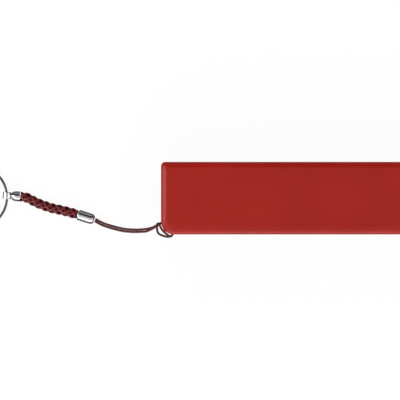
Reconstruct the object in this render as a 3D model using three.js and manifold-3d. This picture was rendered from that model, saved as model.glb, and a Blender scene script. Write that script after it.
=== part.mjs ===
// Keychain flashlight: a slim moulded stick torch on a braided wrist strap with a split key ring.
// Millimetres, +Z up. The torch lies on its back face: X runs along it towards the lens, Z = 0 is the
// surface it lies on, and the origin is the middle of the case's footprint.

import * as THREE from "three";
import { mergeVertices } from "three/addons/utils/BufferGeometryUtils.js";
import Module from "manifold-3d";

const wasm = await Module();
wasm.setup();

// ---------------------------------------------------------------- case sizes
const LENGTH = 95;
const WIDTH = 24;
const THICKNESS = 22;
const WALL = 1.6;
const CORNER_R = 1.4;
const EDGE_R = 1.0;
const SEAM_Z = THICKNESS / 2;
const SEAM_GAP = 0.2;
const LIP_HEIGHT = 1.0;
const LIP_THICKNESS = 0.65;
const RIB = 1.2;
const SEAT_GAP = 0.1;
const FIT_GAP = 0.25;

const CASE_END = LENGTH / 2;
const CASE_SIDE = WIDTH / 2;
const INNER_END = CASE_END - WALL;
const INNER_SIDE = CASE_SIDE - WALL;
const INNER_FLOOR = WALL;
const INNER_ROOF = THICKNESS - WALL;

// ---------------------------------------------------------------- strap corner
const STRAP_CORNER_R = 4.3;
const PASSAGE_R = 3.3;
const PASSAGE_WIDTH = 1.8;
const PASSAGE_HEIGHT = 2.6;
const PASSAGE_INSET = 0.5;
const STRAP_BLOCK_LENGTH = 7.3;
const STRAP_BLOCK_WIDTH = 6.6;

// ---------------------------------------------------------------- cell and its contacts
const CELL_R = 9.1;
const CELL_LENGTH = 65;
const CELL_NUB_R = 3;
const CELL_NUB_HEIGHT = 1;
const CELL_GAP = 0.3;
const CONTACT_SHEET = 0.3;
const CONTACT_HALF = 5;
const CONTACT_ARM_HALF = 1.8;
const POSITIVE_HALF = 3;
const CELL_LEAD_HALF = 1.6;
const INSULATOR_INSET = 0.6;
const CELL_CRIMP = 0.5;
const BULKHEAD_INSET = 0.3;
const BACKSTOP_HALF = 4;
const BACKSTOP_OPENING = 3;
const SPRING_LENGTH = 2.6;
const SPRING_WIRE_R = 0.3;
const SPRING_TURNS = 3;
const SPRING_BIG_R = 4.2;
const SPRING_SMALL_R = 2.4;
const TAIL_ROOM = 6.3;
const CELL_TAIL = -INNER_END + TAIL_ROOM;
const CELL_FRONT = CELL_TAIL + CELL_LENGTH;
const CELL_RIB_INSET = 5.6;
const CELL_RIB_SPACING = 26;
const CELL_RIB_X = [0, 1, 2].map((step) => CELL_TAIL + CELL_RIB_INSET + step * CELL_RIB_SPACING);
const CELL_RIB_HEIGHT = 5;

// ---------------------------------------------------------------- light head
const HEAD_LIFT = 7;
const HEAD_Z = INNER_FLOOR + HEAD_LIFT;
const BEZEL_NECK_R = 5.9;
const BEZEL_LEDGE = 0.8;
const BEZEL_WALL = 0.7;
const BEZEL_FLANGE_R = BEZEL_NECK_R + BEZEL_LEDGE;
const BEZEL_MOUTH_R = BEZEL_NECK_R - BEZEL_WALL;
const BEZEL_FLANGE = 0.9;
const GASKET_R = 0.28;
const LENS_LEDGE = 1;
const LENS_R = BEZEL_MOUTH_R + LENS_LEDGE;
const LENS_EDGE = 1.2;
const LENS_DOME = 0.2;
const REFLECTOR_R = LENS_R + SEAT_GAP;
const REFLECTOR_LENGTH = 7.1;
const REFLECTOR_THROAT_R = 1.9;
const REFLECTOR_WALL = 0.5;
const REFLECTOR_RIM = 1.3;
const LED_BOARD_R = 6;
const LED_BOARD = 1.1;
const LED_SIZE = 2.4;
const LED_HEIGHT = 0.5;
const SINK_R = 6.2;
const SINK = 1.4;
const LEAD_R = 0.45;
const LEAD_Y = 3.2;
const LEAD_RISE = 2.6;
const LEAD_BEND = [0.4, 1.6, 1.9];

// ---------------------------------------------------------------- control board and what it carries
const BOARD_DROP = 4.8;
const BOARD_Z = INNER_ROOF - BOARD_DROP;
const BOARD = 1.0;
const BOARD_LENGTH = 13;
const BOARD_SETBACK = 4.5;
const BOARD_FRONT = INNER_END - BOARD_SETBACK;
const BOARD_TAIL = BOARD_FRONT - BOARD_LENGTH;
const BOARD_SIDE_GAP = 0.6;
const BOARD_HALF_WIDTH = INNER_SIDE - BOARD_SIDE_GAP;
const BOARD_TOP = BOARD_Z + BOARD;
const BOARD_SCREW_INSET = [1.9, 2];
const BOARD_SCREW_X = BOARD_TAIL + BOARD_SCREW_INSET[0];
const BOARD_SCREW_Y = BOARD_HALF_WIDTH - BOARD_SCREW_INSET[1];
const BUTTON_SETBACK = 3.4;
const BUTTON_X = BOARD_FRONT - BUTTON_SETBACK;
const BUTTON_R = 3.5;
const BUTTON_LEDGE = 0.6;
const BUTTON_ROUND = 0.4;
const BUTTON_FLANGE_R = BUTTON_R + BUTTON_LEDGE;
const BUTTON_FLANGE = 0.55;
const BUTTON_PROUD = 0.3;
const BUTTON_TRAVEL = 0.5;
const BUTTON_STEM_R = 1.4;
const SWITCH_SIZE = 4.6;
const SWITCH_HEIGHT = 1.8;
const PLUNGER_R = 0.9;
const PLUNGER_HEIGHT = 1.3;
const PLUNGER_SHOWS = 0.7;
const SOCKET_SETBACK = 4.8;
const SOCKET_X = BOARD_FRONT - SOCKET_SETBACK;
const SOCKET_WIDTH = 8.9;
const SOCKET_HEIGHT = 3.2;
const SOCKET_LENGTH = 7;
const SOCKET_SHEET = 0.3;
const SOCKET_RECESS = 0.3;
const TONGUE_WIDTH = 6.7;
const TONGUE_HEIGHT = 0.7;
const TONGUE_LENGTH = 5;
const PIPE_R = 0.8;
const PIPE_SPACING = 0.2;
const PIPE_FOOT = 1.2;
const PIPE_X = BUTTON_X - BUTTON_FLANGE_R - PIPE_SPACING - PIPE_R;

// ---------------------------------------------------------------- screws
const CASE_SCREW_R = 0.8;
const CASE_SCREW_HEAD_R = 1.7;
const CASE_SCREW_HEAD = 1.2;
const CASE_SCREW_SUNK = 0.4;
const CASE_SCREW_BITE = 5;
const CASE_BOSS_R = 1.5;
const CASE_SCREWS = {
  case_screw_tail_left: [-CASE_END + 5.3, -CASE_SIDE + 4.6],
  case_screw_tail_right: [-CASE_END + 4.1, CASE_SIDE - 3.6],
  case_screw_head_left: [CASE_END - 3.9, -CASE_SIDE + 3.4],
  case_screw_head_right: [CASE_END - 3.9, CASE_SIDE - 3.4],
};
const BOARD_SCREW_R = 0.6;
const BOARD_SCREW_HEAD_R = 1.3;
const BOARD_SCREW_HEAD = 0.7;
const BOARD_SCREW_BITE = 2.6;
const BOARD_BOSS_R = 1.6;
const CAPACITOR = [1.6, 0.9, 0.9];
const CAPACITOR_TUCK = 0.1;
const capacitorX = BOARD_SCREW_X + BOARD_BOSS_R - CAPACITOR_TUCK + CAPACITOR[0] / 2;

// ---------------------------------------------------------------- strap, ferrules and key ring
const STRAP_R = 0.35;
const FERRULE_R = 1.75;
const FERRULE_LENGTH = 5.6;
const FERRULE_ROUND = 0.8;
const FERRULE_AT = new THREE.Vector3(-75.1, -5.5, 1.8);
const FERRULE_TURN = THREE.MathUtils.degToRad(-17.8);
const BRAID_R = 1.65;
const RING_FERRULE_R = 1.7;
const RING_FERRULE_NECK_R = 1.25;
const RING_FERRULE_TAPER = 1.6;
const RING_FERRULE_BODY = 2.7;
const RING_FERRULE_TURN = THREE.MathUtils.degToRad(-4.5);
const RING_TURN = THREE.MathUtils.degToRad(3);
const EYELET_R = 1.38;
const EYELET_HOLE_R = 1.06;
const EYELET_WIDTH = 2.3;
const EYELET_REACH = 0.2;
const EYELET_AT = new THREE.Vector3(-98.8, 0.9, 1.45);
const RING_R = 10.4;
const RING_WIRE_WIDTH = 0.8;
const RING_WIRE_HEIGHT = 0.58;
const RING_TURN_GAP = 0.08;
const RING_TILT = THREE.MathUtils.degToRad(-2.2);

// The braid's centre line, from the ring ferrule to the cord ferrule.
const BRAID_POINTS = [
  [-94.15, 0.52, 1.8], [-92.2, 0.15, 1.8], [-89.2, -1.35, 1.8], [-84.4, -3.15, 1.8], [-79.8, -4.2, 1.8],
  [-75.39, -5.41, 1.8],
];

// The strap cord's centre line. One strand leaves the ferrule, rises to the tail opening, goes round inside
// the corner, comes back outside it, crosses over itself as the bight, and returns the same way.
const STRAP_POINTS = [
  [-69.33, -6.95, 1.8], [-66.9, -8.2, 1.2], [-64.3, -9.1, 0.7], [-60.3, -10.1, 0.8],
  [-57.3, -10.42, 2.3], [-54.4, -10.4, 5.2], [-51.9, -10.1, 8.4], [-50.2, -9.65, 10.2],
  [-48.9, -8.95, 11.15], [-47.3, -8.22, 11.45], [-45.6, -8.52, 11.45], [-44.45, -9.4, 11.45],
  [-43.75, -11.9, 11.45], [-44.05, -12.5, 11.45], [-44.8, -12.5, 11.5], [-45.7, -11.88, 11.6],
  [-46.75, -10.98, 11.8], [-47.52, -9.92, 12.1], [-48.02, -8.9, 12.35], [-48.4, -8.35, 12.45],
  [-48.82, -8.7, 12.4], [-48.85, -9.9, 12.3], [-48.7, -11.1, 11.8], [-48.1, -11.9, 11.2],
  [-47.0, -12.4, 10.8], [-45.8, -12.75, 10.6], [-44.6, -12.75, 10.55], [-43.9, -12.4, 10.55],
  [-43.72, -11.6, 10.55], [-44.45, -9.4, 10.55], [-45.6, -8.52, 10.55], [-47.3, -8.25, 10.5],
  [-48.8, -9.2, 10.15], [-52.0, -10.87, 8.2], [-54.45, -11.17, 5.2], [-57.35, -11.2, 2.3],
  [-60.5, -10.87, 0.8], [-64.6, -9.83, 0.7], [-67.2, -8.92, 1.2], [-69.57, -7.67, 1.8],
];

// ---------------------------------------------------------------- finishes
const finishes = {
  redShell: { color: 0x9f2a23, roughness: 0.38, metalness: 0 },
  redButton: { color: 0x8a241f, roughness: 0.5, metalness: 0 },
  chrome: { color: 0xd4d4d8, roughness: 0.12, metalness: 1 },
  ringSteel: { color: 0x6f7276, roughness: 0.28, metalness: 1 },
  screwSteel: { color: 0x55575b, roughness: 0.35, metalness: 1 },
  nickel: { color: 0xbcb6a8, roughness: 0.3, metalness: 1 },
  aluminium: { color: 0xb5b8bc, roughness: 0.35, metalness: 1 },
  mirror: { color: 0xeeeeee, roughness: 0.04, metalness: 1 },
  clear: { color: 0xf2f6f8, roughness: 0.03, metalness: 0, transparent: true, opacity: 0.35 },
  rubber: { color: 0x18181a, roughness: 0.8, metalness: 0 },
  cellWrap: { color: 0x2a4f7a, roughness: 0.4, metalness: 0 },
  paper: { color: 0xd9d4c4, roughness: 0.9, metalness: 0 },
  greenBoard: { color: 0x1c5a38, roughness: 0.45, metalness: 0 },
  whiteBoard: { color: 0xe8e8e4, roughness: 0.5, metalness: 0 },
  phosphor: { color: 0xf2d84a, roughness: 0.5, metalness: 0 },
  chip: { color: 0x1b1b1d, roughness: 0.55, metalness: 0 },
  ferrite: { color: 0x3b3d40, roughness: 0.7, metalness: 0 },
  ceramic: { color: 0xb58f5c, roughness: 0.5, metalness: 0 },
  redWire: { color: 0xa81f1b, roughness: 0.5, metalness: 0 },
  blackWire: { color: 0x161616, roughness: 0.5, metalness: 0 },
  strapCord: { color: 0x78363a, roughness: 0.8, metalness: 0 },
  braidCord: { color: 0x6e141a, roughness: 0.75, metalness: 0 },
};

// ---------------------------------------------------------------- solids
function solid(geometry) {
  const plain = geometry.clone();
  plain.deleteAttribute("normal");
  plain.deleteAttribute("uv");
  const merged = mergeVertices(plain, 1e-4);
  return new wasm.Manifold(new wasm.Mesh({
    numProp: 3,
    vertProperties: merged.attributes.position.array,
    triVerts: new Uint32Array(merged.index.array),
  }));
}

function geometryOf(manifold) {
  const mesh = manifold.getMesh();
  const geometry = new THREE.BufferGeometry();
  geometry.setAttribute("position", new THREE.BufferAttribute(new Float32Array(mesh.vertProperties), 3));
  geometry.setIndex(new THREE.BufferAttribute(new Uint32Array(mesh.triVerts), 1));
  geometry.computeVertexNormals();
  return geometry;
}

const cut = (body, ...tools) => tools.reduce((left, tool) => left.subtract(solid(tool)), body);
const join = (body, ...pieces) => pieces.reduce((whole, piece) => whole.add(solid(piece)), body);

function block([x0, x1], [y0, y1], [z0, z1]) {
  const geometry = new THREE.BoxGeometry(x1 - x0, y1 - y0, z1 - z0);
  return geometry.translate((x0 + x1) / 2, (y0 + y1) / 2, (z0 + z1) / 2);
}

function rodZ(radius, [x, y], [z0, z1], sides = 20) {
  const geometry = new THREE.CylinderGeometry(radius, radius, z1 - z0, sides);
  return geometry.rotateX(Math.PI / 2).translate(x, y, (z0 + z1) / 2);
}

function rodX(radius, [x0, x1], [y, z], sides = 32) {
  const geometry = new THREE.CylinderGeometry(radius, radius, x1 - x0, sides);
  return geometry.rotateZ(-Math.PI / 2).translate((x0 + x1) / 2, y, z);
}

// A profile of [along, radius] pairs turned about X; it runs from the axis out and back, or closes on itself.
function turnedX(profile, sides = 32) {
  const points = profile.map(([along, radius]) => new THREE.Vector2(radius, along));
  return new THREE.LatheGeometry(points, sides).rotateZ(-Math.PI / 2);
}

function turnedZ(profile, sides = 24) {
  const points = profile.map(([along, radius]) => new THREE.Vector2(radius, along));
  return new THREE.LatheGeometry(points, sides).rotateX(Math.PI / 2);
}

function sheet(points, [z0, z1]) {
  const shape = new THREE.Shape(points.map(([x, y]) => new THREE.Vector2(x, y)));
  return new THREE.ExtrudeGeometry(shape, { depth: z1 - z0, bevelEnabled: false }).translate(0, 0, z0);
}

// A flat outline in X and Z, given its thickness along Y.
function sideSheet(points, [y0, y1]) {
  const flipped = points.map(([x, z]) => [x, -z]);
  return sheet(flipped, [y0, y1]).rotateX(-Math.PI / 2);
}

function tube(curve, radius, sides, steps) {
  const section = new THREE.Shape();
  for (let side = 0; side < sides; side += 1) {
    const angle = (side / sides) * 2 * Math.PI;
    const corner = [radius * Math.cos(angle), radius * Math.sin(angle)];
    if (side === 0) section.moveTo(...corner);
    else section.lineTo(...corner);
  }
  return new THREE.ExtrudeGeometry(section, { extrudePath: curve, steps, bevelEnabled: false });
}

const curveThrough = (points) => new THREE.CatmullRomCurve3(points.map((point) => new THREE.Vector3(...point)));

// ---------------------------------------------------------------- case outline
function caseOutline(inset) {
  const x = CASE_END - inset;
  const y = CASE_SIDE - inset;
  const r = Math.max(CORNER_R - inset, 0.2);
  const strapR = Math.max(STRAP_CORNER_R - inset, 0.2);
  const shape = new THREE.Shape();
  shape.moveTo(-x + strapR, -y);
  shape.lineTo(x - r, -y);
  shape.absarc(x - r, -y + r, r, -Math.PI / 2, 0);
  shape.lineTo(x, y - r);
  shape.absarc(x - r, y - r, r, 0, Math.PI / 2);
  shape.lineTo(-x + r, y);
  shape.absarc(-x + r, y - r, r, Math.PI / 2, Math.PI);
  shape.lineTo(-x, -y + strapR);
  shape.absarc(-x + strapR, -y + strapR, strapR, Math.PI, Math.PI * 1.5);
  return shape;
}

function caseSlab(inset, [z0, z1]) {
  const options = { depth: z1 - z0, bevelEnabled: false, curveSegments: 7 };
  return new THREE.ExtrudeGeometry(caseOutline(inset), options).translate(0, 0, z0);
}

function caseBlank() {
  const options = {
    depth: THICKNESS - 2 * EDGE_R,
    bevelThickness: EDGE_R,
    bevelSize: EDGE_R,
    bevelOffset: -EDGE_R,
    bevelSegments: 3,
    curveSegments: 7,
  };
  return new THREE.ExtrudeGeometry(caseOutline(0), options).translate(0, 0, EDGE_R);
}

const strapBlockX = [-CASE_END - 1, -CASE_END + STRAP_BLOCK_LENGTH];
const strapBlockY = [-CASE_SIDE - 1, -CASE_SIDE + STRAP_BLOCK_WIDTH];

// The strap's way round inside the corner, from the tail face to the side face.
function strapPassage() {
  const centreX = -CASE_END + PASSAGE_INSET;
  const centreY = -CASE_SIDE + PASSAGE_INSET;
  const shape = new THREE.Shape();
  const from = THREE.MathUtils.degToRad(-20);
  const to = THREE.MathUtils.degToRad(110);
  shape.absarc(centreX, centreY, PASSAGE_R + PASSAGE_WIDTH / 2, from, to);
  shape.absarc(centreX, centreY, PASSAGE_R - PASSAGE_WIDTH / 2, to, from, true);
  const options = { depth: PASSAGE_HEIGHT, bevelEnabled: false, curveSegments: 8 };
  return new THREE.ExtrudeGeometry(shape, options).translate(0, 0, SEAM_Z - PASSAGE_HEIGHT / 2);
}

// The hollow inside the case, which leaves the strap corner solid and has room for the cell's round.
function cavity() {
  const hollow = solid(caseSlab(WALL, [INNER_FLOOR, INNER_ROOF]));
  const blocked = hollow.subtract(solid(block(strapBlockX, strapBlockY, [0, THICKNESS])));
  const cellRoom = rodX(CELL_R + SEAT_GAP, [CELL_TAIL - SEAT_GAP, CELL_FRONT + SEAT_GAP], [0, SEAM_Z]);
  return blocked.add(solid(cellRoom));
}

function caseHalf(z) {
  return solid(block([-CASE_END - 1, CASE_END + 1], [-CASE_SIDE - 1, CASE_SIDE + 1], z));
}

function seamRing(outerInset, innerInset, [z0, z1]) {
  const ring = solid(caseSlab(outerInset, [z0, z1])).subtract(solid(caseSlab(innerInset, [z0 - 1, z1 + 1])));
  return ring.subtract(solid(block(strapBlockX, strapBlockY, [0, THICKNESS])));
}

// Cradle plates across the case, cut to the cell's round.
function cellRibs([z0, z1]) {
  const bore = rodX(CELL_R + CELL_GAP, [-INNER_END, INNER_END], [0, SEAM_Z], 40);
  const ribs = CELL_RIB_X.map((x) => block([x - RIB / 2, x + RIB / 2], [-INNER_SIDE, INNER_SIDE], [z0, z1]));
  return cut(join(solid(ribs[0]), ...ribs.slice(1)), bore);
}

function bossTool(place, radius, [z0, z1]) {
  return rodZ(radius, place, [z0, z1], 16);
}

// ---------------------------------------------------------------- places along the light head
const bezelX = INNER_END - SEAT_GAP - BEZEL_FLANGE;
const gasketX = bezelX - SEAT_GAP - GASKET_R;
const lensX = gasketX - GASKET_R - SEAT_GAP - LENS_EDGE;
const reflectorX = lensX - SEAT_GAP - REFLECTOR_LENGTH;
const ledBoardX = reflectorX - SEAT_GAP - LED_BOARD;
const sinkX = ledBoardX - SEAT_GAP - SINK;
const bulkheadX = CELL_FRONT + 2 * CELL_GAP + CONTACT_SHEET;
const negativeX = CELL_TAIL - CELL_GAP - SPRING_LENGTH - SEAT_GAP - CONTACT_SHEET;
const backstopX = [negativeX - SEAT_GAP - RIB, negativeX - SEAT_GAP];
const backstopY = [-BACKSTOP_HALF, BACKSTOP_HALF];
const cellLeadY = Math.max(CELL_R, BOARD_SCREW_Y + BOARD_SCREW_HEAD_R) + CELL_GAP;

function headCradle(x, radius) {
  const plate = solid(block([x - RIB / 2, x + RIB / 2], [-INNER_SIDE, INNER_SIDE], [INNER_FLOOR - 1, HEAD_Z]));
  return cut(plate, rodX(radius + FIT_GAP, [x - RIB, x + RIB], [0, HEAD_Z]));
}

// ---------------------------------------------------------------- case shells
function upperShell() {
  let shell = solid(caseBlank()).subtract(cavity());
  shell = shell.add(cellRibs([INNER_ROOF - CELL_RIB_HEIGHT, INNER_ROOF + 1]));
  for (const place of Object.values(CASE_SCREWS)) {
    shell = join(shell, bossTool(place, CASE_BOSS_R, [SEAM_Z - 1, INNER_ROOF + 1]));
    const pilotTop = SEAM_Z + CASE_SCREW_BITE + 1;
    shell = cut(shell, bossTool(place, CASE_SCREW_R + SEAT_GAP, [SEAM_Z - 1, pilotTop]));
  }
  for (const side of [-1, 1]) {
    const place = [BOARD_SCREW_X, side * BOARD_SCREW_Y];
    shell = join(shell, bossTool(place, BOARD_BOSS_R, [BOARD_TOP + SEAT_GAP, INNER_ROOF + 1]));
    const pilotTop = BOARD_TOP + BOARD_SCREW_BITE + FIT_GAP;
    shell = cut(shell, bossTool(place, BOARD_SCREW_R + SEAT_GAP, [BOARD_TOP - 1, pilotTop]));
  }
  const backstop = block(backstopX, backstopY, [SEAM_Z + BACKSTOP_OPENING, INNER_ROOF + 1]);
  shell = join(shell, backstop).intersect(caseHalf([SEAM_Z + SEAM_GAP / 2, THICKNESS + 1]));
  shell = shell.subtract(seamRing(WALL - LIP_THICKNESS - SEAT_GAP, WALL, [SEAM_Z, SEAM_Z + LIP_HEIGHT + SEAM_GAP]));
  const mouth = rodX(BEZEL_NECK_R + SEAT_GAP, [INNER_END - 1, CASE_END + 1], [0, HEAD_Z]);
  const buttonHole = rodZ(BUTTON_R + FIT_GAP, [BUTTON_X, 0], [INNER_ROOF - 1, THICKNESS + 1], 32);
  const pipeHole = rodZ(PIPE_R + SEAT_GAP, [PIPE_X, 0], [INNER_ROOF - 1, THICKNESS + 1], 16);
  return geometryOf(cut(shell, mouth, buttonHole, pipeHole, socketWindow(), strapPassage()));
}

function socketWindow() {
  const halfWidth = SOCKET_WIDTH / 2 + FIT_GAP;
  const z = [BOARD_TOP + SEAT_GAP - FIT_GAP, BOARD_TOP + SEAT_GAP + SOCKET_HEIGHT + FIT_GAP];
  return block([SOCKET_X - halfWidth, SOCKET_X + halfWidth], [INNER_SIDE - 1, CASE_SIDE + 1], z);
}

function lowerShell() {
  let shell = solid(caseBlank()).subtract(cavity());
  shell = shell.add(cellRibs([INNER_FLOOR - 1, INNER_FLOOR + CELL_RIB_HEIGHT]));
  shell = shell.add(headCradle(sinkX + SINK / 2, SINK_R));
  shell = shell.add(headCradle(lensX - SEAT_GAP - REFLECTOR_RIM / 2, REFLECTOR_R));
  for (const place of Object.values(CASE_SCREWS)) {
    const headTop = CASE_SCREW_SUNK + CASE_SCREW_HEAD + SEAT_GAP;
    shell = join(shell, bossTool(place, CASE_SCREW_HEAD_R + RIB / 2, [INNER_FLOOR - 1, headTop + RIB]));
    shell = join(shell, bossTool(place, CASE_BOSS_R, [INNER_FLOOR - 1, SEAM_Z + 1]));
    shell = cut(shell, bossTool(place, CASE_SCREW_R + SEAT_GAP, [-1, SEAM_Z + 2]));
    shell = cut(shell, bossTool(place, CASE_SCREW_HEAD_R + SEAT_GAP, [-1, headTop]));
  }
  const bulkheadY = [-CELL_R + BULKHEAD_INSET, CELL_R - BULKHEAD_INSET];
  const bulkhead = block([bulkheadX, bulkheadX + RIB], bulkheadY, [INNER_FLOOR - 1, BOARD_Z - RIB]);
  const backstop = block(backstopX, backstopY, [INNER_FLOOR - 1, SEAM_Z - BACKSTOP_OPENING]);
  shell = join(shell, bulkhead, backstop).intersect(caseHalf([-1, SEAM_Z - SEAM_GAP / 2]));
  shell = shell.add(seamRing(WALL - LIP_THICKNESS, WALL, [SEAM_Z - 1, SEAM_Z + LIP_HEIGHT]));
  const mouth = rodX(BEZEL_NECK_R + SEAT_GAP, [INNER_END - 1, CASE_END + 1], [0, HEAD_Z]);
  return geometryOf(cut(shell, mouth, strapPassage()));
}

function caseScrew([x, y]) {
  const top = SEAM_Z + CASE_SCREW_BITE;
  const headTop = CASE_SCREW_SUNK + CASE_SCREW_HEAD;
  const profile = [
    [CASE_SCREW_SUNK, 0], [CASE_SCREW_SUNK, CASE_SCREW_HEAD_R], [headTop, CASE_SCREW_HEAD_R],
    [headTop, CASE_SCREW_R], [top - CASE_SCREW_R, CASE_SCREW_R], [top, 0],
  ];
  const slotDepth = CASE_SCREW_HEAD / 2;
  const arm = CASE_SCREW_HEAD_R * 0.55;
  const slotZ = [CASE_SCREW_SUNK - 1, CASE_SCREW_SUNK + slotDepth];
  const halfSlot = CASE_SCREW_R / 4;
  const cross = [block([-arm, arm], [-halfSlot, halfSlot], slotZ), block([-halfSlot, halfSlot], [-arm, arm], slotZ)];
  return geometryOf(cut(solid(turnedZ(profile, 16)), ...cross)).translate(x, y, 0);
}

// ---------------------------------------------------------------- light head
function lensBezel() {
  const front = CASE_END - SEAT_GAP;
  const flangeFront = bezelX + BEZEL_FLANGE;
  return turnedX([
    [bezelX, BEZEL_MOUTH_R], [bezelX, BEZEL_FLANGE_R], [flangeFront, BEZEL_FLANGE_R], [flangeFront, BEZEL_NECK_R],
    [front, BEZEL_NECK_R], [front, BEZEL_NECK_R - 0.35], [front - 0.6, BEZEL_MOUTH_R], [bezelX, BEZEL_MOUTH_R],
  ], 40);
}

const lensGasket = () => new THREE.TorusGeometry(LENS_R - 2 * GASKET_R, GASKET_R, 6, 32).rotateY(Math.PI / 2);

function lens() {
  const front = lensX + LENS_EDGE;
  return turnedX([
    [lensX, 0], [lensX, LENS_R], [front, LENS_R], [front, BEZEL_MOUTH_R - GASKET_R],
    [front + LENS_DOME * 0.7, BEZEL_MOUTH_R * 0.55], [front + LENS_DOME, 0],
  ], 40);
}

// A parabola with a wall behind it and a rim at the lens.
function reflector() {
  const rimInside = REFLECTOR_R - 2 * REFLECTOR_WALL;
  const spread = (rimInside ** 2 - REFLECTOR_THROAT_R ** 2) / REFLECTOR_LENGTH;
  const bowl = (along) => Math.sqrt(REFLECTOR_THROAT_R ** 2 + spread * along);
  const steps = [0, 0.08, 0.2, 0.4, 0.65, 1].map((share) => share * REFLECTOR_LENGTH);
  const rimBack = REFLECTOR_LENGTH - REFLECTOR_RIM;
  const outside = steps.filter((along) => along < rimBack);
  const profile = [
    ...outside.map((along) => [along, bowl(along) + REFLECTOR_WALL]),
    [rimBack, bowl(rimBack) + REFLECTOR_WALL], [rimBack, REFLECTOR_R], [REFLECTOR_LENGTH, REFLECTOR_R],
    ...steps.reverse().map((along) => [along, bowl(along)]),
  ];
  profile.push(profile[0]);
  return turnedX(profile, 32);
}

function ledEmitter() {
  const half = LED_SIZE / 2;
  const dome = new THREE.SphereGeometry(half * 0.8, 16, 8).translate(LED_HEIGHT, 0, 0);
  const package_ = solid(block([0, LED_HEIGHT], [-half, half], [-half, half]));
  return geometryOf(cut(join(package_, dome), block([-LED_SIZE, 0], [-LED_SIZE, LED_SIZE], [-LED_SIZE, LED_SIZE])));
}

const ledBoard = () => rodX(LED_BOARD_R, [0, LED_BOARD], [0, 0]);

function heatSink() {
  const slots = [-1, 1].map((side) => rodX(2 * LEAD_R, [-1, SINK + 1], [side * LEAD_Y, LEAD_RISE], 12));
  return geometryOf(cut(solid(rodX(SINK_R, [0, SINK], [0, 0])), ...slots));
}

// From the back of the light board, through the heat sink, up to the control board.
function ledLead(side) {
  const y = side * LEAD_Y;
  const z = HEAD_Z + LEAD_RISE;
  const route = [
    [ledBoardX - SEAT_GAP, y, z], [sinkX - LEAD_BEND[0], y, z], [sinkX - LEAD_BEND[1], y, z + 2 * LEAD_R],
    [sinkX - LEAD_BEND[2], y, BOARD_Z - LEAD_BEND[1]], [sinkX - LEAD_BEND[2], y, BOARD_Z - SEAT_GAP],
  ];
  return tube(curveThrough(route), LEAD_R, 8, 12);
}

// ---------------------------------------------------------------- cell and contacts
function batteryCell() {
  const shoulder = CELL_LENGTH - CELL_NUB_HEIGHT;
  return turnedX([
    [0, 0], [0, CELL_R - CELL_CRIMP], [CELL_CRIMP, CELL_R], [shoulder - CELL_CRIMP, CELL_R],
    [shoulder, CELL_R - CELL_CRIMP],
    [shoulder, CELL_NUB_R], [CELL_LENGTH, CELL_NUB_R], [CELL_LENGTH, 0],
  ], 40);
}

function cellInsulator() {
  const back = CELL_LENGTH - CELL_NUB_HEIGHT + SEAT_GAP;
  const front = back + CONTACT_SHEET;
  const outer = CELL_R - INSULATOR_INSET;
  const inner = CELL_NUB_R + CELL_GAP;
  return turnedX([[back, inner], [back, outer], [front, outer], [front, inner], [back, inner]]);
}

// A square plate behind the spring, with an arm bent forward to the side of the cell.
function negativeContact() {
  const armX = CELL_TAIL - CELL_GAP - 0.6;
  const back = negativeX;
  const front = negativeX + CONTACT_SHEET;
  const plate = block([back, front], [-CONTACT_HALF, CONTACT_HALF], [SEAM_Z - CONTACT_HALF, SEAM_Z + CONTACT_HALF]);
  const arm = sheet([
    [back, CONTACT_HALF - 1], [front, CONTACT_HALF - 1], [front, CONTACT_HALF], [armX, CONTACT_HALF + 0.8],
    [armX, cellLeadY], [armX - CONTACT_SHEET, cellLeadY], [armX - CONTACT_SHEET, CONTACT_HALF + 1.1],
    [back, CONTACT_HALF + 0.3],
  ], [SEAM_Z - CONTACT_ARM_HALF, SEAM_Z + CONTACT_ARM_HALF]);
  return geometryOf(join(solid(plate), arm));
}

class ConicalHelix extends THREE.Curve {
  getPoint(share, target = new THREE.Vector3()) {
    const angle = share * SPRING_TURNS * 2 * Math.PI;
    const radius = SPRING_BIG_R + (SPRING_SMALL_R - SPRING_BIG_R) * share;
    const along = SPRING_WIRE_R + share * (SPRING_LENGTH - 2 * SPRING_WIRE_R);
    return target.set(along, radius * Math.cos(angle), radius * Math.sin(angle));
  }
}

const contactSpring = () => tube(new ConicalHelix(), SPRING_WIRE_R, 6, 54);

function positiveContact() {
  const back = CELL_FRONT + CELL_GAP;
  const front = back + CONTACT_SHEET;
  const top = BOARD_Z - SEAT_GAP;
  const tip = BOARD_TAIL + 1;
  return sideSheet([
    [back, SEAM_Z - CONTACT_HALF], [front, SEAM_Z - CONTACT_HALF], [front, top - CONTACT_SHEET],
    [tip, top - CONTACT_SHEET], [tip, top], [back, top],
  ], [-POSITIVE_HALF, POSITIVE_HALF]);
}

// A nickel strip beside the cell, from the tail contact to a tab under the control board.
function cellLead() {
  const tail = CELL_TAIL - CELL_GAP;
  const tabFront = BOARD_TAIL + 1.6;
  const low = SEAM_Z - CELL_LEAD_HALF;
  const high = SEAM_Z + CELL_LEAD_HALF;
  return sideSheet([
    [tail, low], [tabFront, low], [tabFront, BOARD_Z - SEAT_GAP], [BOARD_TAIL, BOARD_Z - SEAT_GAP],
    [BOARD_TAIL, high], [tail, high],
  ], [cellLeadY, cellLeadY + CONTACT_SHEET]);
}

// ---------------------------------------------------------------- control board
function controlBoard() {
  const plate = block([BOARD_TAIL, BOARD_FRONT], [-BOARD_HALF_WIDTH, BOARD_HALF_WIDTH], [BOARD_Z, BOARD_TOP]);
  const holes = [-1, 1].map((side) => {
    const place = [BOARD_SCREW_X, side * BOARD_SCREW_Y];
    return rodZ(BOARD_SCREW_R + SEAT_GAP, place, [BOARD_Z - 1, BOARD_TOP + 1], 16);
  });
  return geometryOf(cut(solid(plate), ...holes));
}

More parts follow.
